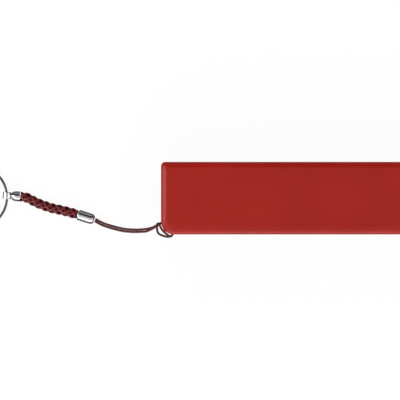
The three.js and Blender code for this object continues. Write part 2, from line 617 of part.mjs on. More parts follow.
function boardScrew(side) {
  const seat = BOARD_Z - SEAT_GAP;
  const tip = BOARD_TOP + BOARD_SCREW_BITE;
  return turnedZ([
    [seat - BOARD_SCREW_HEAD, 0], [seat - BOARD_SCREW_HEAD, BOARD_SCREW_HEAD_R], [seat, BOARD_SCREW_HEAD_R],
    [seat, BOARD_SCREW_R], [tip - BOARD_SCREW_R, BOARD_SCREW_R], [tip, 0],
  ], 12).translate(BOARD_SCREW_X, side * BOARD_SCREW_Y, 0);
}

// A soldered part: a plain block standing on the board's upper or lower face.
function component([x, y], [length, width, height], below = false) {
  const z0 = below ? BOARD_Z - SEAT_GAP - height : BOARD_TOP + SEAT_GAP;
  return block([x - length / 2, x + length / 2], [y - width / 2, y + width / 2], [z0, z0 + height]);
}

function stadium(width, height) {
  const r = height / 2;
  const x = width / 2 - r;
  const shape = new THREE.Shape();
  shape.moveTo(-x, -r);
  shape.lineTo(x, -r);
  shape.absarc(x, 0, r, -Math.PI / 2, Math.PI / 2);
  shape.lineTo(-x, r);
  shape.absarc(-x, 0, r, Math.PI / 2, Math.PI * 1.5);
  return shape;
}

const socketZ = BOARD_TOP + SEAT_GAP + SOCKET_HEIGHT / 2;
const socketFront = CASE_SIDE - SOCKET_RECESS;
const socketBack = socketFront - SOCKET_LENGTH;

// The socket's can: a drawn stadium tube with a closed back, its mouth in the case's side.
function chargingSocket() {
  const options = { depth: SOCKET_LENGTH, bevelEnabled: false, curveSegments: 8 };
  const can = new THREE.ExtrudeGeometry(stadium(SOCKET_WIDTH, SOCKET_HEIGHT), options);
  const inner = stadium(SOCKET_WIDTH - 2 * SOCKET_SHEET, SOCKET_HEIGHT - 2 * SOCKET_SHEET);
  const hollow = new THREE.ExtrudeGeometry(inner, options).translate(0, 0, -SOCKET_SHEET);
  const shell = geometryOf(cut(solid(can), hollow));
  return shell.rotateX(Math.PI / 2).translate(SOCKET_X, socketFront, socketZ);
}

function socketTongue() {
  const y0 = socketBack + SOCKET_SHEET + SEAT_GAP;
  const x = [SOCKET_X - TONGUE_WIDTH / 2, SOCKET_X + TONGUE_WIDTH / 2];
  return block(x, [y0, y0 + TONGUE_LENGTH], [socketZ - TONGUE_HEIGHT / 2, socketZ + TONGUE_HEIGHT / 2]);
}

const switchBase = BOARD_TOP + SEAT_GAP;
const switchTop = switchBase + SWITCH_HEIGHT;

function switchBody() {
  const half = SWITCH_SIZE / 2;
  const housing = block([BUTTON_X - half, BUTTON_X + half], [-half, half], [switchBase, switchTop]);
  const wellFloor = switchTop + PLUNGER_SHOWS - PLUNGER_HEIGHT - BUTTON_TRAVEL - SEAT_GAP;
  const well = rodZ(PLUNGER_R + SEAT_GAP, [BUTTON_X, 0], [wellFloor, switchTop + 1], 16);
  return geometryOf(cut(solid(housing), well));
}

function switchPlunger() {
  const top = switchTop + PLUNGER_SHOWS;
  return rodZ(PLUNGER_R, [BUTTON_X, 0], [top - PLUNGER_HEIGHT, top], 16);
}

// The cap shows through the case; its flange keeps it in and stays clear of the socket, and its stem meets
// the switch.
function pushButton() {
  const stem = switchTop + PLUNGER_SHOWS + SEAT_GAP;
  const flangeTop = INNER_ROOF - FIT_GAP;
  const flangeBottom = flangeTop - BUTTON_FLANGE;
  const top = THICKNESS + BUTTON_PROUD;
  const cap = turnedZ([
    [stem, 0], [stem, BUTTON_STEM_R], [flangeBottom, BUTTON_STEM_R], [flangeBottom, BUTTON_FLANGE_R],
    [flangeTop, BUTTON_FLANGE_R], [flangeTop, BUTTON_R], [top - BUTTON_ROUND, BUTTON_R],
    [top - BUTTON_ROUND / 4, BUTTON_R - BUTTON_ROUND / 4], [top, BUTTON_R - BUTTON_ROUND], [top, 0],
  ], 32).translate(BUTTON_X, 0, 0);
  const flatY = socketBack - SEAT_GAP;
  const beside = block([BUTTON_X - WIDTH, BUTTON_X + WIDTH], [flatY, flatY + WIDTH], [stem, flangeTop + FIT_GAP]);
  return geometryOf(cut(solid(cap), beside));
}

function lightPipe() {
  return rodZ(PIPE_R, [PIPE_X, 0], [BOARD_TOP + PIPE_FOOT, THICKNESS - SEAT_GAP], 16);
}

// ---------------------------------------------------------------- strap fittings
// A drawn cup over the braid's end, with a rounded nose and a hole that the cord comes out of.
function cordFerrule() {
  const hole = STRAP_R * 2 + SEAT_GAP;
  const nose = FERRULE_LENGTH;
  return turnedX([
    [0, 0], [0, FERRULE_R], [nose - FERRULE_ROUND, FERRULE_R], [nose - FERRULE_ROUND / 3, FERRULE_R - FERRULE_ROUND / 4],
    [nose, FERRULE_R - FERRULE_ROUND], [nose, hole], [nose - STRAP_R, hole], [nose - STRAP_R, 0],
  ], 24);
}

// A crimped cup, a flat tongue and an eye rolled round the key ring; the eye's centre is the local origin.
function ringFerrule() {
  const bodyFrom = EYELET_R + EYELET_REACH;
  const bodyTo = bodyFrom + RING_FERRULE_BODY;
  const cup = turnedX([
    [bodyFrom, 0], [bodyFrom, RING_FERRULE_NECK_R], [bodyFrom + RING_FERRULE_TAPER / 2, RING_FERRULE_R - SEAT_GAP],
    [bodyFrom + RING_FERRULE_TAPER, RING_FERRULE_R], [bodyTo, RING_FERRULE_R], [bodyTo, 0],
  ], 24);
  const halfWidth = EYELET_WIDTH / 2;
  const thickness = EYELET_R - EYELET_HOLE_R;
  const eye = new THREE.CylinderGeometry(EYELET_R, EYELET_R, EYELET_WIDTH, 24);
  const tongue = block([EYELET_HOLE_R, bodyFrom + 0.6], [-halfWidth, halfWidth], [-thickness, thickness]);
  const hole = new THREE.CylinderGeometry(EYELET_HOLE_R, EYELET_HOLE_R, 2 * EYELET_WIDTH, 24);
  const lift = RING_FERRULE_R - EYELET_R;
  return geometryOf(cut(join(solid(cup.translate(0, 0, lift)), eye, tongue), hole));
}

// Two turns of flat wire side by side, stepping from one level to the other half-way round.
class SplitRing extends THREE.Curve {
  getPoint(share, target = new THREE.Vector3()) {
    const turns = 2 * 0.985;
    const angle = (share - 0.5) * turns * 2 * Math.PI;
    const step = THREE.MathUtils.smoothstep(share, 0.42, 0.58) - 0.5;
    const level = step * (RING_WIRE_HEIGHT + RING_TURN_GAP);
    return target.set(-RING_R * Math.cos(angle), RING_R * Math.sin(angle), level);
  }
}

function keyRing() {
  const bevel = 0.12;
  const x = RING_WIRE_HEIGHT / 2;
  const y = RING_WIRE_WIDTH / 2;
  const section = new THREE.Shape([
    [-x + bevel, -y], [x - bevel, -y], [x, -y + bevel], [x, y - bevel],
    [x - bevel, y], [-x + bevel, y], [-x, y - bevel], [-x, -y + bevel],
  ].map(([u, v]) => new THREE.Vector2(u, v)));
  const options = { extrudePath: new SplitRing(), steps: 80, bevelEnabled: false };
  return new THREE.ExtrudeGeometry(section, options).translate(-RING_R, 0, 0);
}

// ---------------------------------------------------------------- assembly
const torch = new THREE.Group();
torch.name = "keychain_flashlight";

function place(parent, name, geometry, finish, position = [0, 0, 0]) {
  const mesh = new THREE.Mesh(geometry, new THREE.MeshStandardMaterial(finishes[finish]));
  mesh.name = name;
  mesh.position.set(...position);
  parent.add(mesh);
  return mesh;
}

function addCase() {
  place(torch, "upper_shell", upperShell(), "redShell");
  place(torch, "lower_shell", lowerShell(), "redShell");
  for (const [name, at] of Object.entries(CASE_SCREWS)) {
    place(torch, name, caseScrew(at), "screwSteel");
  }
}

function addLightHead() {
  place(torch, "lens_bezel", lensBezel(), "aluminium", [0, 0, HEAD_Z]);
  place(torch, "lens_gasket", lensGasket(), "rubber", [gasketX, 0, HEAD_Z]);
  place(torch, "lens", lens(), "clear", [0, 0, HEAD_Z]);
  place(torch, "reflector", reflector(), "mirror", [reflectorX, 0, HEAD_Z]);
  place(torch, "led_emitter", ledEmitter(), "phosphor", [ledBoardX + LED_BOARD + SEAT_GAP, 0, HEAD_Z]);
  place(torch, "led_board", ledBoard(), "whiteBoard", [ledBoardX, 0, HEAD_Z]);
  place(torch, "heat_sink", heatSink(), "aluminium", [sinkX, 0, HEAD_Z]);
  place(torch, "led_lead_positive", ledLead(1), "redWire");
  place(torch, "led_lead_negative", ledLead(-1), "blackWire");
}

function addCell() {
  place(torch, "battery_cell", batteryCell(), "cellWrap", [CELL_TAIL, 0, SEAM_Z]);
  place(torch, "cell_insulator", cellInsulator(), "paper", [CELL_TAIL, 0, SEAM_Z]);
  place(torch, "negative_contact", negativeContact(), "nickel");
  const springX = negativeX + CONTACT_SHEET + SEAT_GAP;
  place(torch, "contact_spring", contactSpring(), "nickel", [springX, 0, SEAM_Z]);
  place(torch, "positive_contact", positiveContact(), "nickel");
  place(torch, "cell_lead", cellLead(), "nickel");
}

function addControls() {
  place(torch, "control_board", controlBoard(), "greenBoard");
  place(torch, "board_screw_left", boardScrew(-1), "screwSteel");
  place(torch, "board_screw_right", boardScrew(1), "screwSteel");
  place(torch, "controller_chip", component([BOARD_TAIL + 2.6, 2.4], [3, 3, 0.9]), "chip");
  place(torch, "charger_chip", component([BUTTON_X - 1.6, -6.3], [4.9, 3.9, 1.5]), "chip");
  place(torch, "inductor", component([BOARD_TAIL + 2.3, 0], [2.6, 4, 2.4], true), "ferrite");
  place(torch, "capacitor_input", component([capacitorX, -4.2], CAPACITOR), "ceramic");
  place(torch, "capacitor_output", component([capacitorX, -6.2], CAPACITOR), "ceramic");
  place(torch, "status_led", component([PIPE_X, 0], [1.6, 0.9, 0.8]), "phosphor");
  place(torch, "light_pipe", lightPipe(), "clear");
  place(torch, "charging_socket", chargingSocket(), "nickel");
  place(torch, "socket_tongue", socketTongue(), "chip");
  place(torch, "switch_body", switchBody(), "chip");
  place(torch, "switch_plunger", switchPlunger(), "rubber");
  place(torch, "push_button", pushButton(), "redButton");
}

function addStrap() {
  place(torch, "strap_cord", tube(curveThrough(STRAP_POINTS), STRAP_R, 8, 80), "strapCord");
  const ferrule = place(torch, "cord_ferrule", cordFerrule(), "chrome", FERRULE_AT.toArray());
  ferrule.rotation.z = FERRULE_TURN;
  place(torch, "strap_braid", tube(curveThrough(BRAID_POINTS), BRAID_R, 12, 8), "braidCord");
  const ringEnd = new THREE.Group();
  ringEnd.position.copy(EYELET_AT);
  torch.add(ringEnd);
  const ringCup = place(ringEnd, "ring_ferrule", ringFerrule(), "chrome");
  ringCup.rotation.z = RING_FERRULE_TURN;
  const ring = place(ringEnd, "key_ring", keyRing(), "ringSteel");
  ring.rotation.set(0, RING_TILT, RING_TURN, "ZYX");
}

addCase();
addLightHead();
addCell();
addControls();
addStrap();

export default torch;
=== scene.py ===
"""Keychain flashlight: the finished surfaces of a moulded stick torch, its braided strap and its key ring."""

import logging
import math
from dataclasses import dataclass, field
from enum import Enum
from typing import Sequence

import bpy
import numpy as np
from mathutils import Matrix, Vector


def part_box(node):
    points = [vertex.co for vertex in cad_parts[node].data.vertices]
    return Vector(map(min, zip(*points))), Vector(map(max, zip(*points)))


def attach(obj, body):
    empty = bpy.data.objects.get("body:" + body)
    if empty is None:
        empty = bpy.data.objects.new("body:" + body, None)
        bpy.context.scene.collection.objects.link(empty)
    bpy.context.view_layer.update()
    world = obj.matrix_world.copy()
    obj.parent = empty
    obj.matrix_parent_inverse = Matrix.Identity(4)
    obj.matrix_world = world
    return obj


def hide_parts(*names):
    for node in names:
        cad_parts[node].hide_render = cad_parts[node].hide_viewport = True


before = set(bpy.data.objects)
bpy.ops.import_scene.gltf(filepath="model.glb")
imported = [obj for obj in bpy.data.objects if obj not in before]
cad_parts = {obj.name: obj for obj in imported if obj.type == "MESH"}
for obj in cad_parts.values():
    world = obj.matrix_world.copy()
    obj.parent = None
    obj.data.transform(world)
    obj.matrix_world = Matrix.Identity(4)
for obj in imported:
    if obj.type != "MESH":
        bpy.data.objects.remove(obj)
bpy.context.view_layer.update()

LOG = logging.getLogger("flashlight")
MM = 0.001
TAU = 2 * math.pi
Colour = tuple[int, int, int]
Profile = Sequence[tuple[float, float]]
NodeTree = bpy.types.NodeTree
Socket = bpy.types.NodeSocket
Node = bpy.types.Node
Piece = bpy.types.Object


# ------------------------------------------------------------------------------------------------ skins
@dataclass
class Skin:
    """Closed surfaces as arrays: points, four-sided faces with their UVs, and many-sided caps."""

    points: np.ndarray
    quads: np.ndarray
    uvs: np.ndarray
    caps: list[np.ndarray] = field(default_factory=list)

    def __add__(self, other: "Skin") -> "Skin":
        """Two skins in one mesh, the second one's indices moved past the first one's points.

        Args:
            other: the skin to add.

        Returns:
            The joined skin.
        """
        start = len(self.points)
        return Skin(
            np.concatenate([self.points, other.points]),
            np.concatenate([self.quads, other.quads + start]),
            np.concatenate([self.uvs, other.uvs]),
            self.caps + [cap + start for cap in other.caps],
        )

    def turned(self, matrix: np.ndarray, shift: Sequence[float]) -> "Skin":
        """Every point turned by a 3 x 3 matrix, then shifted."""
        return Skin(self.points @ matrix.T + np.asarray(shift), self.quads, self.uvs, self.caps)

    def volume(self) -> float:
        """Signed volume: one sixth of the sum of a . (b x c) over fans of every face, positive facing out.

        Returns:
            The volume in cubic metres.
        """
        total = 0.0
        fans = [self.quads] + [cap[None, :] for cap in self.caps]
        for faces in fans:
            corner = self.points[faces]
            for k in range(1, faces.shape[1] - 1):
                total += np.einsum("ij,ij->", corner[:, 0], np.cross(corner[:, k], corner[:, k + 1]))
        return total / 6

    def to_object(self, name: str, smooth_angle: float = 35.0) -> Piece:
        """Makes a Blender object at the origin, faces outwards, smooth up to an angle in degrees.

        Args:
            name: the object's name.
            smooth_angle: edges sharper than this stay crisp.

        Returns:
            The linked object.
        """
        flip = self.volume() < 0
        quads = self.quads[:, ::-1] if flip else self.quads
        uvs = self.uvs[:, ::-1] if flip else self.uvs
        caps = [cap[::-1] if flip else cap for cap in self.caps]
        mesh = bpy.data.meshes.new(name)
        mesh.from_pydata(self.points.tolist(), [], quads.tolist() + [cap.tolist() for cap in caps])
        layer = mesh.uv_layers.new(name="UVMap")
        flat = np.zeros((len(mesh.loops), 2), np.float32)
        flat[: uvs.shape[0] * 4] = uvs.reshape(-1, 2)
        layer.data.foreach_set("uv", flat.ravel())
        mesh.polygons.foreach_set("use_smooth", np.ones(len(mesh.polygons), bool))
        mesh.validate()
        mesh.update()
        mesh.set_sharp_from_angle(angle=math.radians(smooth_angle))
        made = bpy.data.objects.new(name, mesh)
        bpy.context.scene.collection.objects.link(made)
        return made


def lattice(points: np.ndarray, ring: bool = False) -> Skin:
    """Faces over a grid of points whose columns close round; rows close too for a ring, or end in flat caps.

    Args:
        points: an array of rows x columns x 3.
        ring: joins the last row back to the first.

    Returns:
        The skin, with U round the columns and V along the rows in millimetres.
    """
    rows, cols = points.shape[:2]
    index = np.arange(rows * cols).reshape(rows, cols)
    below = index if ring else index[:-1]
    above = np.roll(index, -1, axis=0) if ring else index[1:]
    quads = np.stack([below, np.roll(below, -1, 1), np.roll(above, -1, 1), above], axis=-1).reshape(-1, 4)
    step = np.linalg.norm(np.roll(points, -1, 0).mean(1) - points.mean(1), axis=1) / MM
    run = np.concatenate([[0.0], np.cumsum(step)])
    u0, v0 = np.meshgrid(np.arange(cols) / cols, run[: len(below)])
    u1, v1 = u0 + 1 / cols, np.meshgrid(np.arange(cols), run[1 : len(below) + 1])[1]
    around = np.stack([u0, u1, u1, u0], axis=-1)
    along = np.stack([v0, v0, v1, v1], axis=-1)
    uvs = np.stack([around, along], axis=-1).reshape(-1, 4, 2)
    ends = [] if ring else [index[0][::-1].copy(), index[-1].copy()]
    return Skin(points.reshape(-1, 3), quads, uvs, ends)


def lathe(profile: Profile, sides: int = 64, ring: bool = False) -> Skin:
    """A profile of (along, radius) pairs in millimetres turned about X: (along, r cos a, r sin a).

    Args:
        profile: the pairs, from the axis out and back, or closed on themselves.
        sides: how many steps go round.
        ring: closes the profile on itself.

    Returns:
        The turned skin.
    """
    line = np.asarray(profile, float) * MM
    angle = np.linspace(0, TAU, sides, endpoint=False)
    grid = np.empty((len(line), sides, 3))
    grid[..., 0] = line[:, :1]
    grid[..., 1] = line[:, 1:] * np.cos(angle)
    grid[..., 2] = line[:, 1:] * np.sin(angle)
    return lattice(grid, ring=ring)


def rounded(profile: Profile, radius: float, steps: int = 3) -> list[tuple[float, float]]:
    """Cuts each inner corner of an open profile by a quadratic arc that starts a radius before the corner.

    Args:
        profile: corners as (along, radius) pairs.
        radius: how far from a corner its arc starts and ends; short edges limit it.
        steps: points added along each arc.

    Returns:
        The profile with its corners rounded.
    """
    line = np.asarray(profile, float)
    out = [tuple(line[0])]
    for before, here, after in zip(line[:-2], line[1:-1], line[2:]):
        reach_in = min(radius, np.linalg.norm(here - before) * 0.45)
        reach_out = min(radius, np.linalg.norm(after - here) * 0.45)
        start = here + (before - here) / np.linalg.norm(before - here) * reach_in
        end = here + (after - here) / np.linalg.norm(after - here) * reach_out
        for t in np.linspace(0, 1, steps + 1):
            out.append(tuple((1 - t) ** 2 * start + 2 * t * (1 - t) * here + t**2 * end))
    out.append(tuple(line[-1]))
    return out


def spline(points: Sequence[Sequence[float]], per_span: int = 24) -> np.ndarray:
    """A centripetal Catmull-Rom curve: each span blends four neighbours by knots at roots of the gaps.

    Args:
        points: the curve's given points, in metres.
        per_span: samples in each span.

    Returns:
        An array of samples x 3.
    """
    line = np.asarray(points, float)
    line = np.concatenate([[2 * line[0] - line[1]], line, [2 * line[-1] - line[-2]]])
    p0, p1, p2, p3 = line[:-3], line[1:-2], line[2:-1], line[3:]
    gap = lambda a, b: np.sqrt(np.linalg.norm(b - a, axis=1))[:, None, None]
    t1 = gap(p0, p1)
    t2 = t1 + gap(p1, p2)
    t3 = t2 + gap(p2, p3)
    t = t1 + (t2 - t1) * np.linspace(0, 1, per_span, endpoint=False)[None, :, None]
    p0, p1, p2, p3 = (p[:, None, :] for p in (p0, p1, p2, p3))
    a1 = (t1 - t) / t1 * p0 + t / t1 * p1
    a2 = (t2 - t) / (t2 - t1) * p1 + (t - t1) / (t2 - t1) * p2
    a3 = (t3 - t) / (t3 - t2) * p2 + (t - t2) / (t3 - t2) * p3
    b1 = (t2 - t) / t2 * a1 + t / t2 * a2
    b2 = (t3 - t) / (t3 - t1) * a2 + (t - t1) / (t3 - t1) * a3
    samples = ((t2 - t) / (t2 - t1) * b1 + (t - t1) / (t2 - t1) * b2).reshape(-1, 3)
    return np.concatenate([samples, line[-2:-1]])


def even(line: np.ndarray, count: int) -> np.ndarray:
    """The same line with its samples spaced evenly along its length.

    Args:
        line: samples x 3.
        count: how many samples come back.

    Returns:
        The evenly spaced line.
    """
    run = np.concatenate([[0.0], np.cumsum(np.linalg.norm(np.diff(line, axis=0), axis=1))])
    want = np.linspace(0, run[-1], count)
    return np.stack([np.interp(want, run, line[:, axis]) for axis in range(3)], axis=1)


def length_of(line: np.ndarray) -> float:
    """Sum of the line's steps."""
    return float(np.linalg.norm(np.diff(line, axis=0), axis=1).sum())


def carried(section: np.ndarray, path: np.ndarray, up: Sequence[float] = (0, 0, 1)) -> Skin:
    """A flat section carried along a path: point = path + u side + v top, with side = up x tangent made unit.

    Args:
        section: (sides, 2), or (rows, sides, 2) where it changes along the path, in metres.
        path: (rows, 3).
        up: a direction that the path never runs along.

    Returns:
        The closed skin with flat ends.
    """
    tangent = np.gradient(path, axis=0)
    tangent /= np.linalg.norm(tangent, axis=1, keepdims=True)
    side = np.cross(np.asarray(up, float), tangent)
    side /= np.linalg.norm(side, axis=1, keepdims=True)
    top = np.cross(tangent, side)
    shape = section if section.ndim == 3 else np.broadcast_to(section, (len(path),) + section.shape)
    return lattice(path[:, None] + shape[..., :1] * side[:, None] + shape[..., 1:] * top[:, None])


def oval(width: float, height: float, sides: int, squareness: float = 2.0) -> np.ndarray:
    """A superellipse: |u / w|^n + |v / h|^n = 1, with n the squareness, in metres.

    Args:
        width: its full width.
        height: its full height.
        sides: how many points go round.
        squareness: 2 for an ellipse, more for a squarer shape.

    Returns:
        An array of sides x 2.
    """
    angle = np.linspace(0, TAU, sides, endpoint=False)
    power = 2 / squareness
    u = np.sign(np.cos(angle)) * np.abs(np.cos(angle)) ** power * width / 2
    v = np.sign(np.sin(angle)) * np.abs(np.sin(angle)) ** power * height / 2
    return np.stack([u, v], axis=1)


def spin_z(degrees: float) -> np.ndarray:
    """Rotation matrix about Z."""
    c, s = math.cos(math.radians(degrees)), math.sin(math.radians(degrees))
    return np.array([[c, -s, 0], [s, c, 0], [0, 0, 1.0]])


def spin_y(degrees: float) -> np.ndarray:
    """Rotation matrix about Y."""
    c, s = math.cos(math.radians(degrees)), math.sin(math.radians(degrees))
    return np.array([[c, 0, s], [0, 1.0, 0], [-s, 0, c]])


LIE_TO_STAND = np.array([[0, 0, 1.0], [0, 1.0, 0], [-1.0, 0, 0]]).T


class Cut(Enum):
    """How one solid changes another."""

    AWAY = "DIFFERENCE"
    ON = "UNION"


def carve(body: Piece, tools: Sequence[Skin], how: Cut) -> None:
    """Cuts tools away from a body, or joins them on, and keeps the result as the body's own mesh.

    Args:
        body: the piece that changes.
        tools: the solids that change it, one after another.
        how: away or on.
    """
    for number, tool in enumerate(tools):
        helper = tool.to_object(f"{body.name}_tool_{number}")
        change = body.modifiers.new("carve", "BOOLEAN")
        change.operation = how.value
        change.solver = "EXACT"
        change.object = helper
        settled = bpy.data.meshes.new_from_object(body.evaluated_get(bpy.context.evaluated_depsgraph_get()))
        body.modifiers.clear()
        body.data = settled
        bpy.data.objects.remove(helper)


# ------------------------------------------------------------------------------------------------ finishes
def linear(colour: Colour) -> tuple[float, float, float, float]:
    """An eight-bit display colour as linear light.

    Args:
        colour: red, green and blue from 0 to 255.

    Returns:
        Red, green, blue and alpha from 0 to 1.
    """
    share = np.asarray(colour, float) / 255
    light = np.where(share <= 0.04045, share / 12.92, ((share + 0.055) / 1.055) ** 2.4)
    return (*light.tolist(), 1.0)


class Grain(Enum):
    """How a surface's fine pattern runs."""

    EVEN = (1.0, 1.0, 1.0)
    ALONG_X = (0.06, 1.0, 1.0)
    ALONG_Z = (1.0, 1.0, 0.06)


@dataclass(frozen=True)
class Finish:
    """A surface with two close colours in soft patches, uneven gloss and a fine grain."""

    name: str
    colour: Colour
    second: Colour
    roughness: tuple[float, float]
    metallic: float = 0.0
    patch_scale: float = 120.0
    grain_scale: float = 5000.0
    grain_depth: float = 0.02
    grain: Grain = Grain.EVEN
    coat: float = 0.0
    sheen: float = 0.0
    specular: float = 0.5
    transmission: float = 0.0
    ior: float = 1.5

    def material(self) -> bpy.types.Material:
        """The material, made once and then shared."""
        ready = bpy.data.materials.get(self.name)
        return ready or self.make()

    def make(self) -> bpy.types.Material:
        """Builds the nodes: patches mix the colours, a second noise sets roughness and a fine one the bump.

        Returns:
            The new material.
        """
        made = bpy.data.materials.new(self.name)
        made.use_nodes = True
        tree = made.node_tree
        shader = tree.nodes["Principled BSDF"]
        for socket, value in (
            ("Metallic", self.metallic), ("Coat Weight", self.coat), ("Coat Roughness", 0.12),
            ("Sheen Weight", self.sheen), ("Sheen Roughness", 0.45), ("Specular IOR Level", self.specular),
            ("Transmission Weight", self.transmission), ("IOR", self.ior),
        ):
            shader.inputs[socket].default_value = value
        place = tree.nodes.new("ShaderNodeTexCoord").outputs["Object"]
        self.colour_nodes(tree, place, shader)
        gloss = self.noise(tree, place, self.patch_scale * 3.1, 3)
        span = tree.nodes.new("ShaderNodeMapRange")
        span.inputs["To Min"].default_value, span.inputs["To Max"].default_value = self.roughness
        tree.links.new(gloss, span.inputs["Value"])
        tree.links.new(span.outputs["Result"], shader.inputs["Roughness"])
        self.bump_nodes(tree, place, shader)
        return made

    @staticmethod
    def noise(tree: NodeTree, place: Socket, scale: float, detail: float) -> Socket:
        """A noise texture's value at a place.

        Args:
            tree: the material's node tree.
            place: the coordinate.
            scale: patches in each metre.
            detail: octaves.

        Returns:
            The value, from 0 to 1.
        """
        texture = tree.nodes.new("ShaderNodeTexNoise")
        texture.inputs["Scale"].default_value = scale
        texture.inputs["Detail"].default_value = detail
        tree.links.new(place, texture.inputs["Vector"])
        return texture.outputs["Fac"]

    def blend_colours(self, tree: NodeTree, share: Socket) -> Socket:
        """The two colours mixed by a share that is first spread to the full range.

        Args:
            tree: the material's node tree.
            share: how much of the second colour.

        Returns:
            The mixed colour.
        """
        ramp = tree.nodes.new("ShaderNodeValToRGB")
        ramp.color_ramp.elements[0].position = 0.35
        ramp.color_ramp.elements[0].color = linear(self.colour)
        ramp.color_ramp.elements[1].position = 0.68
        ramp.color_ramp.elements[1].color = linear(self.second)
        tree.links.new(share, ramp.inputs["Fac"])
        return ramp.outputs["Color"]

    def colour_nodes(self, tree: NodeTree, place: Socket, shader: Node) -> None:
        """Soft patches of the two colours."""
        share = self.noise(tree, place, self.patch_scale, 4)
        tree.links.new(self.blend_colours(tree, share), shader.inputs["Base Color"])

    def bump_nodes(self, tree: NodeTree, place: Socket, shader: Node) -> None:
        """A fine grain, drawn out along the chosen direction.

        Args:
            tree: the material's node tree.
            place: the object coordinate.
            shader: the principled node.
        """
        stretch = tree.nodes.new("ShaderNodeMapping")
        stretch.inputs["Scale"].default_value = self.grain.value
        tree.links.new(place, stretch.inputs["Vector"])
        self.bump(tree, self.noise(tree, stretch.outputs["Vector"], self.grain_scale, 2), shader, self.grain_depth)

    @staticmethod
    def bump(tree: NodeTree, height: Socket, shader: Node, depth: float) -> None:
        """Feeds a height to the shader's normal, its depth in millimetres.

        Args:
            tree: the material's node tree.
            height: the height, from 0 to 1.
            shader: the principled node.
            depth: how deep the full height is.
        """
        raised = tree.nodes.new("ShaderNodeBump")
        raised.inputs["Strength"].default_value = 0.6
        raised.inputs["Distance"].default_value = depth * MM
        tree.links.new(height, raised.inputs["Height"])
        tree.links.new(raised.outputs["Normal"], shader.inputs["Normal"])


@dataclass(frozen=True)
class ThreadFinish(Finish):
    """Twisted filament yarn: fine ridges wound round a strand, from the strand's own UV map, with painted shade in
    the furrows and painted highlight on the ridges.
    """

    ridges: float = 3.0
    pitch: float = 0.55
    # how much painted highlight goes on a strand's outer side and painted shade on its inner side
    crown: float = 0.0

    def ridge(self, tree: NodeTree) -> Socket:
        """Height of the wound filaments: half a sine of (ridges x U + V / pitch) turns.

        Args:
            tree: the material's node tree.

        Returns:
            The height, from 0 to 1.
        """
        uv = tree.nodes.new("ShaderNodeUVMap")
        uv.uv_map = "UVMap"
        turn = tree.nodes.new("ShaderNodeVectorMath")
        turn.operation = "DOT_PRODUCT"
        turn.inputs[1].default_value = (TAU * self.ridges, TAU / self.pitch, 0)
        tree.links.new(uv.outputs["UV"], turn.inputs[0])
        wave = tree.nodes.new("ShaderNodeMath")
        wave.operation = "SINE"
        tree.links.new(turn.outputs["Value"], wave.inputs[0])
        span = tree.nodes.new("ShaderNodeMapRange")
        span.inputs["From Min"].default_value = -1.0
        tree.links.new(wave.outputs["Value"], span.inputs["Value"])
        return span.outputs["Result"]

    def colour_nodes(self, tree: NodeTree, place: Socket, shader: Node) -> None:
        """Painted shade in the yarn's furrows, painted highlight on its ridges and, by the crown weight, painted
        light on a strand's outer side, with patches over both.

        Args:
            tree: the material's node tree.
            place: the object coordinate.
            shader: the principled node.
        """
        patch = self.scaled(tree, self.noise(tree, place, self.patch_scale, 3), 0.5)
        # painted shade in the furrows, painted highlight on the ridges
        wound = self.plus(tree, self.scaled(tree, self.ridge(tree), 0.5 - 0.3 * self.crown), patch)
        # painted highlight on the strand's outer side, painted shade on its inner side
        height = self.scaled(tree, self.crown_light_share(tree), 0.4 * self.crown)
        share = self.plus(tree, self.plus(tree, wound, height), self.scaled(tree, patch, -0.3 * self.crown))
        tree.links.new(self.blend_colours(tree, share), shader.inputs["Base Color"])

    @staticmethod
    def plus(tree: NodeTree, first: Socket, second: Socket) -> Socket:
        """The sum of two values.

        Args:
            tree: the material's node tree.
            first: one value.
            second: the other.

        Returns:
            Their sum.
        """
        both = tree.nodes.new("ShaderNodeMath")
        both.operation = "ADD"
        tree.links.new(first, both.inputs[0])
        tree.links.new(second, both.inputs[1])
        return both.outputs["Value"]

    @staticmethod
    def crown_light_share(tree: NodeTree) -> Socket:
        """Painted crown light: how far round towards a strand's outer side a point is, the sine of U's turn from -1
        to 1, lighter outside and painted shade towards the core.

        Args:
            tree: the material's node tree.

        Returns:
            The sine.
        """
        uv = tree.nodes.new("ShaderNodeUVMap")
        uv.uv_map = "UVMap"
        turn = tree.nodes.new("ShaderNodeVectorMath")
        turn.operation = "DOT_PRODUCT"
        turn.inputs[1].default_value = (TAU, 0, 0)
        tree.links.new(uv.outputs["UV"], turn.inputs[0])
        wave = tree.nodes.new("ShaderNodeMath")
        wave.operation = "SINE"
        tree.links.new(turn.outputs["Value"], wave.inputs[0])
        return wave.outputs["Value"]

    @staticmethod
    def scaled(tree: NodeTree, value: Socket, by: float) -> Socket:
        """A value times a number.

        Args:
            tree: the material's node tree.
            value: the value.
            by: the number.

        Returns:
            The product.
        """
        times = tree.nodes.new("ShaderNodeMath")
        times.operation = "MULTIPLY"
        times.inputs[1].default_value = by
        tree.links.new(value, times.inputs[0])
        return times.outputs["Value"]

    def bump_nodes(self, tree: NodeTree, place: Socket, shader: Node) -> None:
        """The wound ridges raised."""
        self.bump(tree, self.ridge(tree), shader, self.grain_depth)


@dataclass(frozen=True)
class BoardFinish(Finish):
    """Solder mask over copper tracks: cells of a coarse pattern show the tracks as lighter lines."""

    def colour_nodes(self, tree: NodeTree, place: Socket, shader: Node) -> None:
        """Tracks where the distance to a cell's edge is small.

        Args:
            tree: the material's node tree.
            place: the object coordinate.
            shader: the principled node.
        """
        cells = tree.nodes.new("ShaderNodeTexVoronoi")
        cells.feature = "DISTANCE_TO_EDGE"
        cells.inputs["Scale"].default_value = 420.0
        tree.links.new(place, cells.inputs["Vector"])
        line = tree.nodes.new("ShaderNodeMapRange")
        line.inputs["From Min"].default_value = 0.03
        line.inputs["From Max"].default_value = 0.07
        line.inputs["To Min"].default_value = 1.0
        line.inputs["To Max"].default_value = 0.0
        tree.links.new(cells.outputs["Distance"], line.inputs["Value"])
        tree.links.new(self.blend_colours(tree, line.outputs["Result"]), shader.inputs["Base Color"])


